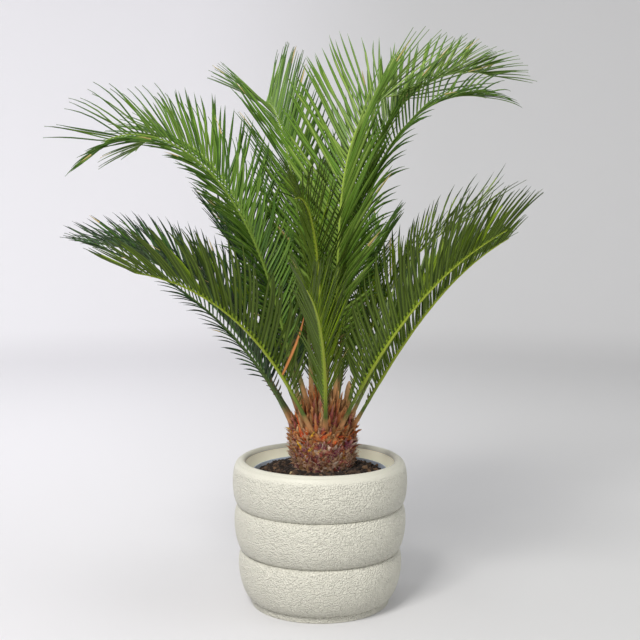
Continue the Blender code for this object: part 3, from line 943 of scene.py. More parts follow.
@dataclass
class Trunk:
    """The short trunk: a dark core under overlapping leaf scales, and the bases between the stalks.

    profile is its outside in radii and heights, which the scales fill out from the core, inset below it.
    """

    finishes: Finishes
    profile: tuple[tuple[float, float], ...] = (
        (0.0425, 0.1978), (0.0460, 0.2090), (0.0485, 0.2260), (0.0478, 0.2430),
        (0.0440, 0.2525), (0.0290, 0.2715), (0.0140, 0.2880), (0.0080, 0.2925))
    inset: float = 0.0050
    core_rows: int = 60
    core_steps: int = 120
    scale_count: int = 620
    spear_count: int = 150
    fibre_count: int = 1500

    SCALE_ROWS = 9
    SCALE_HALF = 7
    FIBRE_ROWS = 6
    FIBRE_SIDES = 3
    LOW_HUSKS = (Husk.TAN, Husk.TAN, Husk.PURPLE, Husk.FELT, Husk.TAN, Husk.MAROON, Husk.PINK)
    MIDDLE_HUSKS = (Husk.MAROON, Husk.PURPLE, Husk.OCHRE, Husk.MAROON, Husk.RUSSET, Husk.PURPLE, Husk.TAN,
                    Husk.PINK)
    HIGH_HUSKS = (Husk.RUSSET, Husk.ORANGE, Husk.FELT, Husk.RUSSET, Husk.ORANGE, Husk.TAN, Husk.UMBER)
    SPEAR_HUSKS = (Husk.FELT, Husk.UMBER, Husk.UMBER, Husk.RUSSET, Husk.UMBER, Husk.MAROON, Husk.RUSSET,
                   Husk.ORANGE)
    FIBRE_HUSKS = (Husk.TAN, Husk.PINK, Husk.FELT, Husk.PINK, Husk.PURPLE, Husk.TAN, Husk.RUSSET)

    def radius(self, height: np.ndarray) -> np.ndarray:
        """Return the core's radius at a height, a little inside the scales' outside."""
        spots = np.array(self.profile)
        return np.interp(height, spots[:, 1], spots[:, 0]) - self.inset

    def surface(self, outward: np.ndarray, height: np.ndarray, clear: float = 0.0) -> np.ndarray:
        """Return the points at heights on the core's surface, or clear of it.

        Args:
            outward: Level unit direction of each point from the axis.
            height: Its height.
            clear: How far it stands off the core.

        Returns:
            The points, as rows.
        """
        axis = np.stack([TRUNK_OFFSET + 0.0 * height, 0.0 * height, height], axis=-1)
        return outward * (self.radius(height) + clear)[:, None] + axis

    def core(self) -> None:
        """Build the core: the trunk's profile, drawn in to leave room for the scales, with rough lumps."""
        heights = np.linspace(self.profile[0][1], self.profile[-1][1], self.core_rows)
        angles = circle(self.core_steps)
        points = rings(self.radius(heights), heights, angles, TRUNK_OFFSET)
        lumps = 0.0012 * ripple(points, 0.012, 21) + 0.0006 * ripple(points, 0.004, 22)
        points += compass(angles)[0] * lumps[..., None]
        places = grid(angles / FULL_TURN, np.linspace(0.0, 1.0, self.core_rows)).reshape(-1, 2)
        Skin(points.reshape(-1, 3), tube_faces(len(heights), len(angles)), None, places).add(
            "trunk_core", [self.finishes.scales[Husk.UMBER]], "trunk", ["trunk"], 60.0)

    def shields(self, angle: np.ndarray, height: np.ndarray, lean: np.ndarray, length: np.ndarray,
                width: np.ndarray, thick: np.ndarray, twist: np.ndarray, flare: np.ndarray,
                tones: np.ndarray, seed: int) -> Skin:
        """Build pointed scales on the core.

        A scale is a closed leaf: its half width grows to its shoulder and then falls in a straight line
        to its tip, its back bulges as 1 - u * u, and it bends outwards as flare * v squared.

        Args:
            angle: Each scale's turn about the trunk.
            height: Height of its root.
            lean: Its lean out from upright, in radians.
            length: Its length.
            width: Its half width at the shoulder.
            thick: Its thickness at the heart.
            twist: Its turn in its own plane, in radians.
            flare: How far its tip bends outwards, as a share of its length.
            tones: Its material number.
            seed: Seed of its roughness.

        Returns:
            The joined scales.
        """
        v = np.linspace(0.0, 1.0, self.SCALE_ROWS)
        spread = np.maximum(np.minimum(0.72 + 0.9 * v, (1.0 - v) / 0.66) ** 0.85, 0.03)
        across, front = leaf_section(self.SCALE_HALF)
        outward, side = compass(angle)
        up = outward * np.sin(lean)[:, None] + UPRIGHT * np.cos(lean)[:, None]
        face = outward * np.cos(lean)[:, None] - UPRIGHT * np.sin(lean)[:, None]
        up, side = turn_rows(up, face, twist), turn_rows(side, face, twist)
        root = self.surface(outward, height)
        body = (1.0 - across ** 2) * np.where(front > 0, 0.75, 0.25) * front
        taper = (1.0 - v ** 2) * 0.85 + 0.15
        rise = (v ** 2)[:, None] * (flare * length)[:, None, None]
        shape = (root[:, None, None]
                 + up[:, None, None] * (v[:, None] * length[:, None, None])[..., None]
                 + side[:, None, None] * (spread[:, None] * across * width[:, None, None])[..., None]
                 + face[:, None, None] * (taper[:, None] * body * thick[:, None, None] + rise)[..., None])
        ragged = ripple(shape, 0.0075, seed) * 0.0011 + ripple(shape, 0.0026, seed + 1) * 0.0005
        fray = ripple(shape, 0.0036, seed + 2) * 0.0011 * np.abs(across) ** 3
        shape = shape + face[:, None, None] * ragged[..., None] + side[:, None, None] * fray[..., None]
        places = grid(0.5 + 0.5 * across, v)
        places = np.broadcast_to(places, (len(angle), *places.shape))
        faces = [block[:, ::-1] for block in tube_faces(len(v), len(across), len(angle))]
        marks = np.concatenate([np.repeat(tones, (len(v) - 1) * len(across)), tones, tones])
        return Skin(shape.reshape(-1, 3), faces, marks, places.reshape(-1, 2))

    def scales(self) -> None:
        """Lay the scales in the spiral of a cone: each turns by the golden angle from the last."""
        dice = np.random.default_rng(31)
        count = self.scale_count
        share = np.arange(count) / count
        angle = np.arange(count) * GOLDEN_ANGLE + dice.normal(0.0, 0.06, count)
        height = 0.1935 + 0.0600 * share + dice.normal(0.0, 0.0008, count)
        length = dice.uniform(0.0075, 0.0155, count) * (1.0 + 0.25 * share ** 2)
        width = dice.uniform(0.0020, 0.0052, count)
        tones = np.where(share < 0.34, dice.choice(self.LOW_HUSKS, count),
                         dice.choice(self.MIDDLE_HUSKS, count))
        tones = np.where(share > 0.68, dice.choice(self.HIGH_HUSKS, count), tones)
        tones = np.where((dice.random(count) < 0.025) & (share > 0.4), Husk.AMBER, tones)
        lean = np.radians(dice.normal(17.0, 12.0, count)) + 0.12 * (share > 0.8)
        thick = dice.uniform(0.0012, 0.0030, count)
        twist = np.radians(dice.normal(0.0, 30.0, count))
        flare = dice.uniform(-0.20, 0.55, count)
        skin = self.shields(angle, height, lean, length, width, thick, twist, flare, tones, 33)
        skin.add("trunk_scales", self.finishes.scales, "trunk", (), 60.0)

    def spears(self) -> None:
        """Stand pointed, felted leaf bases between the stalks, taller towards the middle."""
        dice = np.random.default_rng(41)
        count = self.spear_count
        share = (np.arange(count) + 0.5) / count
        angle = np.arange(count) * GOLDEN_ANGLE + 0.7
        height = 0.2430 + 0.039 * share
        length = 0.017 + 0.017 * share + dice.uniform(-0.005, 0.008, count)
        width = dice.uniform(0.0030, 0.0056, count) * (1.0 - 0.35 * share)
        tones = dice.choice(self.SPEAR_HUSKS, count)
        tones = np.where(dice.random(count) < 0.015, Husk.AMBER, tones)
        lean = np.radians(17.0 - 12.0 * share + dice.normal(0.0, 4.0, count))
        thick = dice.uniform(0.0022, 0.0034, count)
        twist = np.radians(dice.normal(0.0, 7.0, count))
        flare = dice.uniform(-0.05, 0.16, count)
        skin = self.shields(angle, height, lean, length, width, thick, twist, flare, tones, 43)
        skin.add("leaf_bases", self.finishes.scales, "trunk", ["bud"], 60.0)

    def fibres(self) -> None:
        """Scatter torn fibres on the scales: thin three-sided hairs that curl sideways and down."""
        dice = np.random.default_rng(51)
        count = self.fibre_count
        angle = dice.uniform(0.0, FULL_TURN, count)
        height = dice.uniform(0.196, 0.268, count)
        outward, side = compass(angle)
        root = self.surface(outward, height, 0.0036)
        aim = unit(outward * dice.uniform(0.15, 1.0, (count, 1)) + side * dice.normal(0.0, 0.9, (count, 1))
                   + UPRIGHT * dice.normal(0.6, 0.5, (count, 1)))
        bend = side * dice.normal(0.0, 0.6, (count, 1)) - UPRIGHT * dice.uniform(-0.6, 1.2, (count, 1))
        length = dice.uniform(0.003, 0.0105, count)
        v = np.linspace(0.0, 1.0, self.FIBRE_ROWS)
        course = aim[:, None] * v[:, None] + bend[:, None] * (0.6 * v ** 2)[:, None]
        line = root[:, None] + length[:, None, None] * course
        first = unit(np.cross(aim, np.array([0.3, 0.2, 1.0])))
        second = np.cross(aim, first)
        turn = circle(self.FIBRE_SIDES)
        ring = first[:, None] * np.cos(turn)[:, None] + second[:, None] * np.sin(turn)[:, None]
        thick = dice.uniform(0.00025, 0.00060, count)[:, None] * (1.0 - 0.8 * v)
        points = line[:, :, None] + ring[:, None] * thick[:, :, None, None]
        places = grid(turn / FULL_TURN, v)
        places = np.broadcast_to(places, (count, *places.shape)).reshape(-1, 2)
        tones = dice.choice(self.FIBRE_HUSKS, count)
        marks = np.concatenate([np.repeat(tones, (len(v) - 1) * len(turn)), tones, tones])
        Skin(points.reshape(-1, 3), tube_faces(len(v), len(turn), count), marks, places).add(
            "trunk_fibres", self.finishes.scales, "trunk", (), 180.0)

    def build(self) -> None:
        """Build the core, its scales, the bases between the stalks and the torn fibres."""
        self.core()
        self.scales()
        self.spears()
        self.fibres()


@dataclass
class OldLeafBase:
    """The dry stub of an old leaf, behind the crown.

    heading is the way that it faces, in degrees. foot_reach sets its foot back towards the crown, and
    lean is how far its top stands out past its foot. shoulder is the share of its height where its
    rounded end starts.
    """

    finishes: Finishes
    heading: float = 34.0
    half_width: float = 0.0062
    half_depth: float = 0.0016
    foot_reach: float = 0.0045
    lean: float = 0.011
    shoulder: float = 0.72

    ROWS = 14
    HALF = 9

    def build(self) -> None:
        """Build a slab with a soft back and a rounded end, as tall as the node's box."""
        low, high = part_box("old_leaf_base")
        v = np.linspace(0.0, 1.0, self.ROWS)
        across, front = leaf_section(self.HALF)
        outward, side = compass(np.array(math.radians(self.heading)))
        foot = (Vector(low) + Vector(high)) / 2
        past = np.maximum(v - self.shoulder, 0.0) / 0.285
        end = np.sqrt(np.clip(1.0 - past ** 2, 0.0, 1.0))
        spread = np.maximum(self.half_width * np.clip(0.72 + 0.5 * v, 0.0, 1.0) * end, 0.0003)
        root = np.array([foot.x, foot.y, low.z]) - outward * self.foot_reach
        body = self.half_depth * np.sqrt(np.maximum(1.0 - across ** 2, 0.0)) * front
        points = (root + v[:, None, None] * (UPRIGHT * (high.z - low.z) + outward * self.lean)
                  + side * (spread[:, None] * across)[..., None] + outward * body[:, None])
        points = points + outward * (0.0004 * ripple(points, 0.008, 61))[..., None]
        places = grid(0.5 + 0.5 * across, v)
        faces = [block[:, ::-1] for block in tube_faces(len(v), len(across))]
        Skin(points.reshape(-1, 3), faces, None, places.reshape(-1, 2)).add(
            "dry_leaf_base", [self.finishes.scales[Husk.FELT]], "dry_leaf_base", ["old_leaf_base"], 70.0)


@dataclass(frozen=True)
class Frond:
    """One leaf of the crown, as its rib's course and its leaflets' angles.

    seat and level place the stalk's foot on the trunk; heading and rise are its first direction.
    The rib's slope drops by fall * s**bend and its heading turns by swing * s, with s from 0 to 1.
    roll and twist turn the blade about the rib, and keel lifts each row of leaflets from the flat.
    sweep is a leaflet's angle from the rib, which falls by fan towards the tip, and lag is what the
    left-hand row has more of it at the foot and less at the tip. curl bends a leaflet towards the
    rib's underside, the later the higher hook is. leaf is the longest leaflet, and end the share of it
    that the last leaflets have. dead is the number of the dry leaflet, counted from the foot: above 0
    in the right-hand row, below 0 in the left-hand row, and 0 for none.
    """

    name: str
    seat: float
    level: float
    heading: float
    rise: float
    fall: float
    length: float
    palette: Palette
    bend: float = 1.8
    swing: float = 0.0
    roll: float = 0.0
    twist: float = 0.0
    leaf: float = 0.120
    keel: float = 50.0
    sweep: float = 42.0
    curl: float = 0.5
    end: float = 0.60
    lag: float = 0.0
    fan: float = 20.0
    hook: float = 2.0
    dead: int = 0


FRONDS = (
    Frond("left_high", seat=215, level=0.30, heading=191.2, rise=77.7, fall=102.2, length=0.560,
          palette=Palette.GREEN, bend=2.82, swing=36.3, roll=-74, twist=14, leaf=0.100, keel=24,
          sweep=41, curl=0.95, end=0.85, lag=8, fan=20, hook=3),
    Frond("left_high_back", seat=200, level=0.80, heading=172, rise=73, fall=110, length=0.567,
          palette=Palette.GREEN, bend=3.4, swing=-36, roll=-30, keel=35),
    Frond("back_left_high", seat=145, level=0.85, heading=113, rise=81.9, fall=82.5, length=0.612,
          palette=Palette.GREEN, bend=2.1, swing=-12, twist=-22, leaf=0.135, keel=50, sweep=43,
          curl=0.3, end=0.95, fan=-6),
    Frond("back_right_high", seat=0, level=0.85, heading=72, rise=88, fall=110.7, length=0.535,
          palette=Palette.BRIGHT, bend=4.7, swing=-33, roll=3, leaf=0.160, keel=37, curl=0.3, end=0.95,
          lag=-8, fan=2),
    Frond("right_high", seat=50, level=0.50, heading=45.3, rise=82.4, fall=96.4, length=0.582,
          palette=Palette.GREEN, bend=3.5, swing=-35.2, roll=25, leaf=0.085, keel=40, sweep=50, curl=1.5,
          end=0.75, lag=-15, fan=25),
    Frond("right_high_back", seat=85, level=0.90, heading=66.8, rise=76.6, fall=90.1, length=0.686,
          palette=Palette.BRIGHT, bend=2.75, swing=-40.3, roll=8, leaf=0.124, keel=45, sweep=35,
          curl=0.35, end=0.65, lag=-8, fan=14),
    Frond("front_high", seat=268, level=0.80, heading=264, rise=84, fall=95, length=0.380,
          palette=Palette.OLIVE, bend=3.1, swing=-9, leaf=0.095, keel=60, end=0.5),
    Frond("front_low", seat=275, level=0.15, heading=272, rise=52, fall=31, length=0.337,
          palette=Palette.MOSS, bend=1.7, swing=-13, leaf=0.100, keel=62),
    Frond("left_front", seat=247, level=0.08, heading=222, rise=60, fall=51, length=0.360,
          palette=Palette.OLIVE, swing=-24, keel=60, dead=-8),
    Frond("left_low", seat=188, level=0.00, heading=183.7, rise=65.3, fall=48.1, length=0.408,
          palette=Palette.BLUE, bend=1.14, swing=5.8, roll=-48, twist=34, leaf=0.066, keel=32, curl=1.1,
          end=0.5),
    Frond("left_mid", seat=178, level=0.35, heading=169.3, rise=72.6, fall=68.6, length=0.422,
          palette=Palette.BLUE, bend=1.1, swing=8.3, roll=-30, leaf=0.090, end=0.6),
    Frond("left_back", seat=150, level=0.45, heading=140, rise=65, fall=22, length=0.331,
          palette=Palette.BLUE, swing=-3.7, keel=40),
    Frond("left_back_low", seat=155, level=0.00, heading=158, rise=58, fall=45, length=0.380,
          palette=Palette.BLUE),
    Frond("right_front", seat=302, level=0.05, heading=318, rise=59, fall=30, length=0.385,
          palette=Palette.OLIVE, bend=2, swing=20, keel=60),
    Frond("right_low", seat=348, level=0.00, heading=345, rise=60, fall=29.9, length=0.357,
          palette=Palette.OLIVE, bend=2.5, swing=8.5, leaf=0.088, keel=60, end=0.5),
    Frond("right_mid", seat=12, level=0.30, heading=14, rise=77, fall=57.3, length=0.361,
          palette=Palette.OLIVE, bend=1.9, swing=-2.6, roll=20, leaf=0.075, keel=60, sweep=38, curl=0.35,
          end=1.4, fan=10),
    Frond("right_back_low", seat=32, level=0.00, heading=30, rise=60, fall=45, length=0.380,
          palette=Palette.GREEN, leaf=0.100, end=0.5),
    Frond("back_right_mid", seat=62, level=0.15, heading=74, rise=58, fall=45, length=0.420,
          palette=Palette.GREEN),
    Frond("back_mid", seat=98, level=0.45, heading=92, rise=66, fall=56, length=0.500,
          palette=Palette.GREEN),
    Frond("back_left_mid", seat=122, level=0.20, heading=118, rise=58, fall=45, length=0.450,
          palette=Palette.GREEN),
    Frond("back_low", seat=92, level=0.00, heading=100, rise=46, fall=32, length=0.360,
          palette=Palette.OLIVE),
)


@dataclass(frozen=True)
class RibFrame:
    """Points along a rib, with the blade's forward, upper and right-hand directions there."""

    point: np.ndarray
    along: np.ndarray
    upper: np.ndarray
    right: np.ndarray


class Rib:
    """The rib of one frond: a stalk that rises from the trunk and arches over.

    The seats' radii and heights are for a level of 0 and of 1. Half widths and depths are those at the
    stations, which are shares of the length.
    """

    STEPS = 200
    AROUND = 12
    ROW_PITCH = 0.006
    SEAT_RADII = (0.040, 0.014)
    SEAT_HEIGHTS = (0.250, 0.285)
    STATIONS = (0.0, 0.04, 0.12, 0.5, 1.0)
    HALF_WIDTHS = (0.0058, 0.0040, 0.0027, 0.0017, 0.0007)
    HALF_DEPTHS = (0.0045, 0.0036, 0.0027, 0.0018, 0.0007)

    def __init__(self, frond: Frond) -> None:
        """Carry the rib's direction from its seat in equal steps.

        Args:
            frond: The frond that it belongs to.
        """
        self.frond = frond
        self.stations = np.linspace(0.0, 1.0, self.STEPS + 1)
        middles = 0.5 * (self.stations[1:] + self.stations[:-1])
        steps = self.direction(middles) * frond.length / self.STEPS
        seat = math.radians(frond.seat)
        radius = self.SEAT_RADII[0] + (self.SEAT_RADII[1] - self.SEAT_RADII[0]) * frond.level
        height = self.SEAT_HEIGHTS[0] + (self.SEAT_HEIGHTS[1] - self.SEAT_HEIGHTS[0]) * frond.level
        foot = np.array([TRUNK_OFFSET + radius * math.cos(seat), radius * math.sin(seat), height])
        self.points = foot + np.concatenate([np.zeros((1, 3)), np.cumsum(steps, axis=0)])

    def angles(self, s: np.ndarray) -> tuple[np.ndarray, np.ndarray]:
        """Return the slope and the heading at s, in radians."""
        slope = np.radians(self.frond.rise - self.frond.fall * np.maximum(s, 0.0) ** self.frond.bend)
        return slope, np.radians(self.frond.heading + self.frond.swing * s)

    def direction(self, s: np.ndarray) -> np.ndarray:
        """Return the rib's direction at s."""
        slope, heading = self.angles(s)
        return np.stack([np.cos(slope) * np.cos(heading), np.cos(slope) * np.sin(heading), np.sin(slope)],
                        axis=-1)

    def at(self, s: np.ndarray) -> RibFrame:
        """Return the rib's points and the blade's directions at stations s.

        Args:
            s: Shares of the rib's length, which may start below 0, inside the trunk.

        Returns:
            The frame, one row a station.
        """
        slope, heading = self.angles(s)
        point = np.stack([np.interp(s, self.stations, self.points[:, k]) for k in range(3)], axis=-1)
        along = self.direction(s)
        point += along * (np.minimum(s, 0.0) * self.frond.length)[:, None]
        upper = np.stack([-np.sin(slope) * np.cos(heading), -np.sin(slope) * np.sin(heading),
                          np.cos(slope)], axis=-1)
        right = np.cross(along, upper)
        roll = np.radians(self.frond.roll + self.frond.twist * s)[:, None]
        return RibFrame(point, along, upper * np.cos(roll) + right * np.sin(roll),
                        right * np.cos(roll) - upper * np.sin(roll))

    def skin(self) -> Skin:
        """Build the stalk and rib: an oval section, with a groove in its upper side, that tapers.

        Returns:
            The closed rib, with the turn in U and the share of the length in V.
        """
        rows = max(30, round(self.frond.length / self.ROW_PITCH))
        s = np.linspace(-0.03, 1.0, rows)
        place = self.at(s)
        turn = circle(self.AROUND)
        groove = 1.0 - 0.30 * np.exp(-((turn - 0.5 * math.pi) / 0.42) ** 2)
        wide = np.interp(s, self.STATIONS, self.HALF_WIDTHS)[:, None] * np.cos(turn)
        deep = np.interp(s, self.STATIONS, self.HALF_DEPTHS)[:, None] * np.sin(turn) * groove
        points = (place.point[:, None] + place.right[:, None] * wide[..., None]
                  + place.upper[:, None] * deep[..., None])
        points = points + place.upper[:, None] * (0.00025 * ripple(points, 0.012, 71))[..., None]
        places = grid(turn / FULL_TURN, s)
        faces = [block[:, ::-1] for block in tube_faces(rows, self.AROUND)]
        return Skin(points.reshape(-1, 3), faces, None, places.reshape(-1, 2))


class Column(IntEnum):
    """Columns of a leaflet's tones: its body and its end from above, its underside and its root."""

    BODY = 0
    END = 1
    UNDER = 2
    ROOT = 3


@dataclass
class Blades:
    """Leaflets to be meshed, one row each.

    Each has its root point, its direction aim, the direction down that it curls in, the rib's direction
    along, its length reach, its curl, half width, tilt and side, the power hook at which it curls, its
    sway along the rib, and its tones in the order of Column.
    """

    root: np.ndarray
    aim: np.ndarray
    down: np.ndarray
    along: np.ndarray
    reach: np.ndarray
    curl: np.ndarray
    width: np.ndarray
    tilt: np.ndarray
    side: np.ndarray
    hook: np.ndarray
    sway: np.ndarray
    tones: np.ndarray

    STATIONS = (0.0, 0.05, 0.15, 0.35, 0.55, 0.75, 0.90, 1.0)
    WIDTHS = (0.62, 0.84, 1.0, 1.0, 0.95, 0.76, 0.38, 0.03)
    STEPS = 20
    MARGIN_DROP = 0.62
    RIDGE = 0.00035
    ACROSS = (0.0, 0.5, 1.0, 0.5)

    def skin(self) -> Skin:
        """Mesh the leaflets: each is a long thin blade with rolled margins and a needle tip.

        Its direction at share x is aim + down * curl * x ** hook at length 1, summed in equal steps. The
        section is a flat chevron: margins, a ridge above and a ridge below.

        Returns:
            The joined leaflets, with a material number on each face: see tones.
        """
        x = np.array(self.STATIONS)
        count, rows = len(self.root), len(x)
        middles = (np.arange(self.STEPS) + 0.5) / self.STEPS
        run = np.cumsum(self.forward(middles), axis=1) / self.STEPS
        run = np.concatenate([np.zeros((count, 1, 3)), run], axis=1)
        line = self.root[:, None] + self.reach[:, None, None] * run[:, np.rint(x * self.STEPS).astype(int)]
        forward = self.forward(x)
        flat = self.along[:, None] - forward * np.sum(self.along[:, None] * forward, axis=-1, keepdims=True)
        flat = unit(flat) * self.side[:, None, None]
        flat = turn_rows(flat, forward, self.tilt[:, None] * (1.0 - 0.7 * x))
        above = np.cross(forward, flat)
        half = self.width[:, None] * np.array(self.WIDTHS)
        edge = flat * half[..., None]
        drop = above * (self.MARGIN_DROP * half)[..., None]
        ridge = above * self.RIDGE
        points = np.stack([line - edge - drop, line - ridge, line + edge - drop, line + ridge], axis=2)
        places = grid(np.array(self.ACROSS), x)
        places = np.broadcast_to(places, (count, *places.shape)).reshape(-1, 2)
        faces = tube_faces(rows, len(self.ACROSS), count)
        return Skin(points.reshape(-1, 3), faces, self.marks(rows), places)

    def forward(self, x: np.ndarray) -> np.ndarray:
        """Work out where each leaflet points.

        Args:
            x: Shares of a leaflet's length.

        Returns:
            Unit directions, one row a leaflet and one column a share.
        """
        bend = (self.curl[:, None] * x ** self.hook[:, None])[..., None]
        sway = (self.sway[:, None] * np.sin(x * math.pi * 1.4))[..., None]
        return unit(self.aim[:, None] + self.down[:, None] * bend + self.along[:, None] * sway)

    def marks(self, rows: int) -> np.ndarray:
        """Return a material number for each face.

        The first stretch takes the root's tone, and the last two above take the end's.

        Args:
            rows: Rings in a leaflet.

        Returns:
            The numbers, in the order of the faces.
        """
        stretch = np.arange(rows - 1)[:, None]
        below = np.array([True, True, False, False])
        column = np.where(below, Column.UNDER, np.where(stretch >= rows - 3, Column.END, Column.BODY))
        column = np.where(stretch == 0, Column.ROOT, column)
        sides = self.tones[:, column.ravel()].ravel()
        return np.concatenate([sides, self.tones[:, Column.ROOT], self.tones[:, Column.END]])


@dataclass
class Leaflets:
    """Both rows of leaflets of one frond, from short thorns on the stalk to the fan at the tip.

    PITCH is the way along the rib from one leaflet to the next. STALK is the share of the rib where the
    leaflets start, and THORNS the share before it that has thorns. SHARES are the leaflets' lengths at
    STATIONS, to which the frond adds its own last one.
    """

    rib: Rib
    seed: int

    PITCH = 0.0070
    STALK = 0.20
    THORNS = 0.07
    STATIONS = (0.0, 0.12, 0.35, 0.75, 1.0)
    SHARES = (0.45, 0.85, 1.0, 0.92)
    FOOT_SWEEP = 12.0
    CURL_FADE = 0.65
    HALF_WIDTH = 0.0022
    THORN_WIDTH = 0.0011
    LEAF = 0.120
    LAST = 0.997

    def row(self, side: int, dice: np.random.Generator, order: list[Tone]) -> Blades:
        """Lay out one row.

        Args:
            side: 1 for the right-hand row and -1 for the left-hand one.
            dice: Seeded random numbers.
            order: The tones in the order of the mesh's materials.

        Returns:
            The row's leaflets.
        """
        frond = self.rib.frond
        count = round((1.0 - self.STALK + self.THORNS) * frond.length / self.PITCH)
        stagger = 0.5 if side > 0 else 0.0
        s = self.STALK - self.THORNS + (np.arange(count) + stagger) * self.PITCH / frond.length
        s = np.minimum(s, self.LAST)
        u = (s - self.STALK) / (1.0 - self.STALK)
        place = self.rib.at(s)
        slow = ripple(s[:, None], 0.16, self.seed * 7 + side, 6)
        share = np.interp(u, self.STATIONS, (*self.SHARES, frond.end))
        thorn = u < 0.0
        share = np.where(thorn, np.interp(u * (1.0 - self.STALK), (-self.THORNS, 0.0), (0.035, 0.20)), share)
        reach = frond.leaf * share * (1.0 + 0.035 * slow + dice.normal(0.0, 0.03, count))
        sweep = np.radians(frond.sweep - side * frond.lag * (1.0 - 2.0 * u)
                           + np.interp(u, (0.0, 0.5, 1.0), (self.FOOT_SWEEP, 0.0, -frond.fan))
                           + dice.normal(0.0, 2.2, count) + 2.5 * slow)
        keel = np.radians(frond.keel + dice.normal(0.0, 3.0, count) + 3.0 * slow)[:, None]
        out = side * np.cos(keel) * place.right + np.sin(keel) * place.upper
        aim = np.cos(sweep)[:, None] * place.along + np.sin(sweep)[:, None] * out
        wide = np.interp(s, self.rib.STATIONS, self.rib.HALF_WIDTHS)[:, None]
        root = place.point + side * place.right * wide * 0.75 + place.upper * wide * 0.35
        livery = frond.palette.value
        body = dice.choice([order.index(tone) for tone in livery.bodies], count)
        body = np.where(thorn, order.index(Tone.THORN), body)
        ends = np.where(dice.random(count) < 0.03, order.index(Tone.STRAW), order.index(livery.end))
        tones = np.stack([body, ends, np.full(count, order.index(livery.under)),
                          np.full(count, order.index(livery.root))], axis=-1)
        if side * frond.dead > 0:
            tones[abs(frond.dead)] = order.index(Tone.DRY)
        fade = 1.0 - self.CURL_FADE * np.maximum(u, 0.0)
        taper = np.interp(u, (0.0, 0.6, 1.0), (1.05, 0.95, 0.66))
        wide = self.HALF_WIDTH * (frond.leaf / self.LEAF) ** 0.7 * taper
        return Blades(root=root, aim=aim, down=-place.upper, along=place.along, reach=reach,
                      curl=frond.curl * fade * (1.0 + dice.normal(0.0, 0.16, count) + 0.15 * slow),
                      width=np.where(thorn, self.THORN_WIDTH, wide) * (1.0 + dice.normal(0.0, 0.07, count)),
                      tilt=np.radians(22.0 + dice.normal(0.0, 9.0, count)),
                      side=np.full(count, float(side)), hook=np.full(count, frond.hook),
                      sway=dice.normal(0.0, 0.10, count) * (0.6 + 1.2 * np.maximum(u, 0.0) ** 2), tones=tones)

    def skin(self, order: list[Tone]) -> Skin:
        """Mesh both rows as one piece.

        Args:
            order: The tones in the order of the mesh's materials.

        Returns:
            The joined leaflets.
        """
        dice = np.random.default_rng(self.seed)
        rows = [self.row(side, dice, order) for side in (-1, 1)]
        joined = [np.concatenate([getattr(row, field.name) for row in rows]) for field in fields(Blades)]
        return Blades(*joined).skin()


@dataclass
class Crown:
    """Every frond of the palm."""

    finishes: Finishes

    def build(self) -> None:
        """Build each frond as a rib and its leaflets, in place of its nodes."""
        order = list(Tone)
        coats = [self.finishes.leaves[tone] for tone in order]
        known = set(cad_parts)
        for number, frond in enumerate(FRONDS):
            halves = ("frond_" + frond.name, "frond_" + frond.name + "_end")
            nodes = [node for node in halves if node in known]
            rib = Rib(frond)
            rib.skin().add("rib_" + frond.name, [self.finishes.stalks[frond.palette]], "frond", nodes, 60.0)
            Leaflets(rib, 100 + number).skin(order).add("leaflets_" + frond.name, coats, "frond", nodes, 60.0)


@dataclass(frozen=True)
class Lamp:
    """A square soft light: where it hangs, its side, its power in watts, its colour and its target."""

    name: str
    place: Point
    side: float
    power: float
    colour: Colour
    target: Point = (0.0, 0.0, 0.45)

    def hang(self) -> None:
        """Hang the light, turned to its target."""
        data = bpy.data.lights.new(self.name, "AREA")
        data.shape = "SQUARE"
        data.size = self.side
        data.energy = self.power
        data.color = self.colour
        item = bpy.data.objects.new(self.name, data)
        item.location = self.place
        aim = Vector(self.target) - Vector(self.place)
        item.rotation_euler = aim.to_track_quat("-Z", "Y").to_euler()
        bpy.context.scene.collection.objects.link(item)


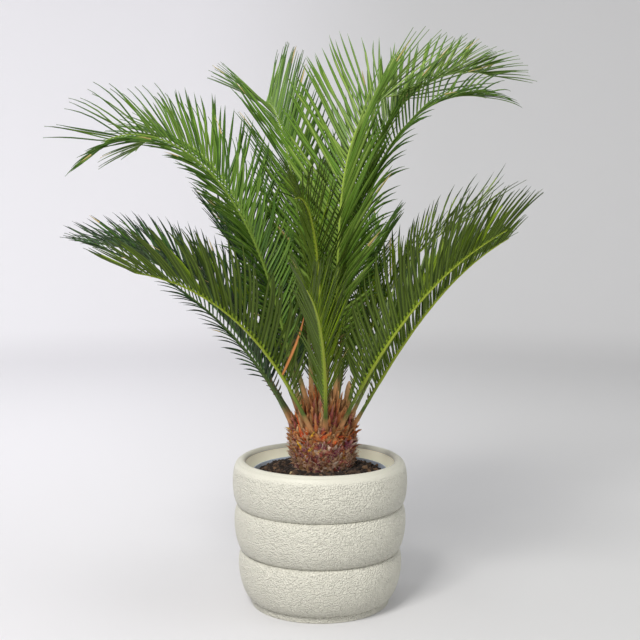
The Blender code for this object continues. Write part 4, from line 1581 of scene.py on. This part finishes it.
@dataclass
class Studio:
    """A pale seamless bowl, soft lights and the camera at the photograph's angle.

    The paper's tones are painted light and shade: it goes from lit at the left to shaded at the right over
    paper_reach, and loses floor_shade of its tone on the floor as painted shade, over the heights in
    shade_heights.
    """

    camera_distance: float = 1.580
    camera_height: float = 0.566
    camera_pitch: float = 5.68
    camera_field: float = 32.0
    sensor_width: float = 36.0
    floor_radius: float = 2.6
    wall_radius: float = 4.6
    wall_height: float = 3.4
    floor_rows: int = 12
    wall_rows: int = 24
    steps: int = 96
    bright_paper: Colour = (0.83, 0.82, 0.85)
    dim_paper: Colour = (0.66, 0.66, 0.66)
    paper_reach: tuple[float, float] = (-0.75, 0.65)
    floor_shade: float = 0.09
    shade_heights: tuple[float, float] = (0.10, 0.0)
    glow: float = 0.10
    sky: Colour = (0.97, 0.98, 1.0)
    sky_strength: float = 0.26
    lamps: tuple[Lamp, ...] = (
        Lamp("key", (-0.95, -1.9, 2.6), 0.9, 76.0, (1.0, 0.985, 0.955)),
        Lamp("front", (0.2, -2.5, 0.9), 1.2, 6.0, (1.0, 0.99, 0.97), (0.0, 0.0, 0.3)),
        Lamp("side", (2.2, -0.6, 1.6), 1.4, 7.0, (0.98, 0.99, 1.0)),
        Lamp("top", (0.0, 0.2, 2.8), 1.2, 12.0, (1.0, 1.0, 1.0)),
        Lamp("wall", (-1.5, 1.0, 2.2), 2.0, 32.0, (0.99, 0.99, 1.0), (-0.45, 4.4, 0.9)),
    )

    def camera(self) -> None:
        """Set the camera on the plant's front, looking along +Y and a little down."""
        data = bpy.data.cameras.new("camera")
        data.sensor_width = self.sensor_width
        data.lens = self.sensor_width / 2.0 / math.tan(math.radians(self.camera_field / 2.0))
        item = bpy.data.objects.new("camera", data)
        item.location = (0.0, -self.camera_distance, self.camera_height)
        item.rotation_euler = (math.radians(90.0 - self.camera_pitch), 0.0, 0.0)
        bpy.context.scene.collection.objects.link(item)
        bpy.context.scene.camera = item

    def bowl(self) -> None:
        """Build the floor, which turns up into a wall all round by a quarter ellipse."""
        turn = np.radians(np.linspace(0.0, 90.0, self.wall_rows))
        wide = self.wall_radius - self.floor_radius
        radii = np.concatenate([np.linspace(0.01, self.floor_radius, self.floor_rows),
                                self.floor_radius + wide * np.sin(turn)[1:]])
        heights = np.concatenate([np.zeros(self.floor_rows), self.wall_height * (1.0 - np.cos(turn))[1:]])
        points = rings(radii, heights, circle(self.steps))
        sides, start, _ = tube_faces(len(radii), self.steps)
        net = Net("studio_floor")
        # Painted light and shade: the paper is lit at the left and shaded at the right, and shaded on the
        # floor.
        share = net.rise(net.part(net.place(), 0), *self.paper_reach)
        paper = net.mix(share, self.bright_paper, self.dim_paper)
        low = net.rise(net.part(net.place(), 2), *self.shade_heights)
        paper = net.mix(low, paper, net.mix(self.floor_shade, paper, (0.0, 0.0, 0.0)))
        net.feed(net.shader.inputs["Emission Color"], paper)
        coat = net.finish(paper, 0.9, emission_strength=self.glow)
        mesh = bpy.data.meshes.new("studio_floor")
        mesh.from_pydata(points.reshape(-1, 3).tolist(), [], [*sides[:, ::-1].tolist(), *start.tolist()])
        mesh.materials.append(coat)
        mesh.shade_smooth()
        item = bpy.data.objects.new("studio_floor", mesh)
        bpy.context.scene.collection.objects.link(item)

    def build(self) -> None:
        """Build the bowl, set the camera, hang the lights and set the world's even light."""
        self.bowl()
        self.camera()
        for lamp in self.lamps:
            lamp.hang()
        world = bpy.data.worlds.new("studio")
        world.use_nodes = True
        background = world.node_tree.nodes["Background"]
        background.inputs["Color"].default_value = (*self.sky, 1.0)
        background.inputs["Strength"].default_value = self.sky_strength
        bpy.context.scene.world = world
        bpy.context.scene.view_settings.view_transform = "Standard"


def main() -> None:
    """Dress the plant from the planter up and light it."""
    logging.basicConfig(level=logging.INFO, format="%(message)s")
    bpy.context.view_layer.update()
    finishes = Finishes()
    for part in (Planter(finishes), GrowPot(finishes), Soil(finishes), Trunk(finishes),
                 OldLeafBase(finishes), Crown(finishes)):
        LOG.info("building %s", type(part).__name__)
        part.build()
    Studio().build()


if __name__ == "__main__":
    main()
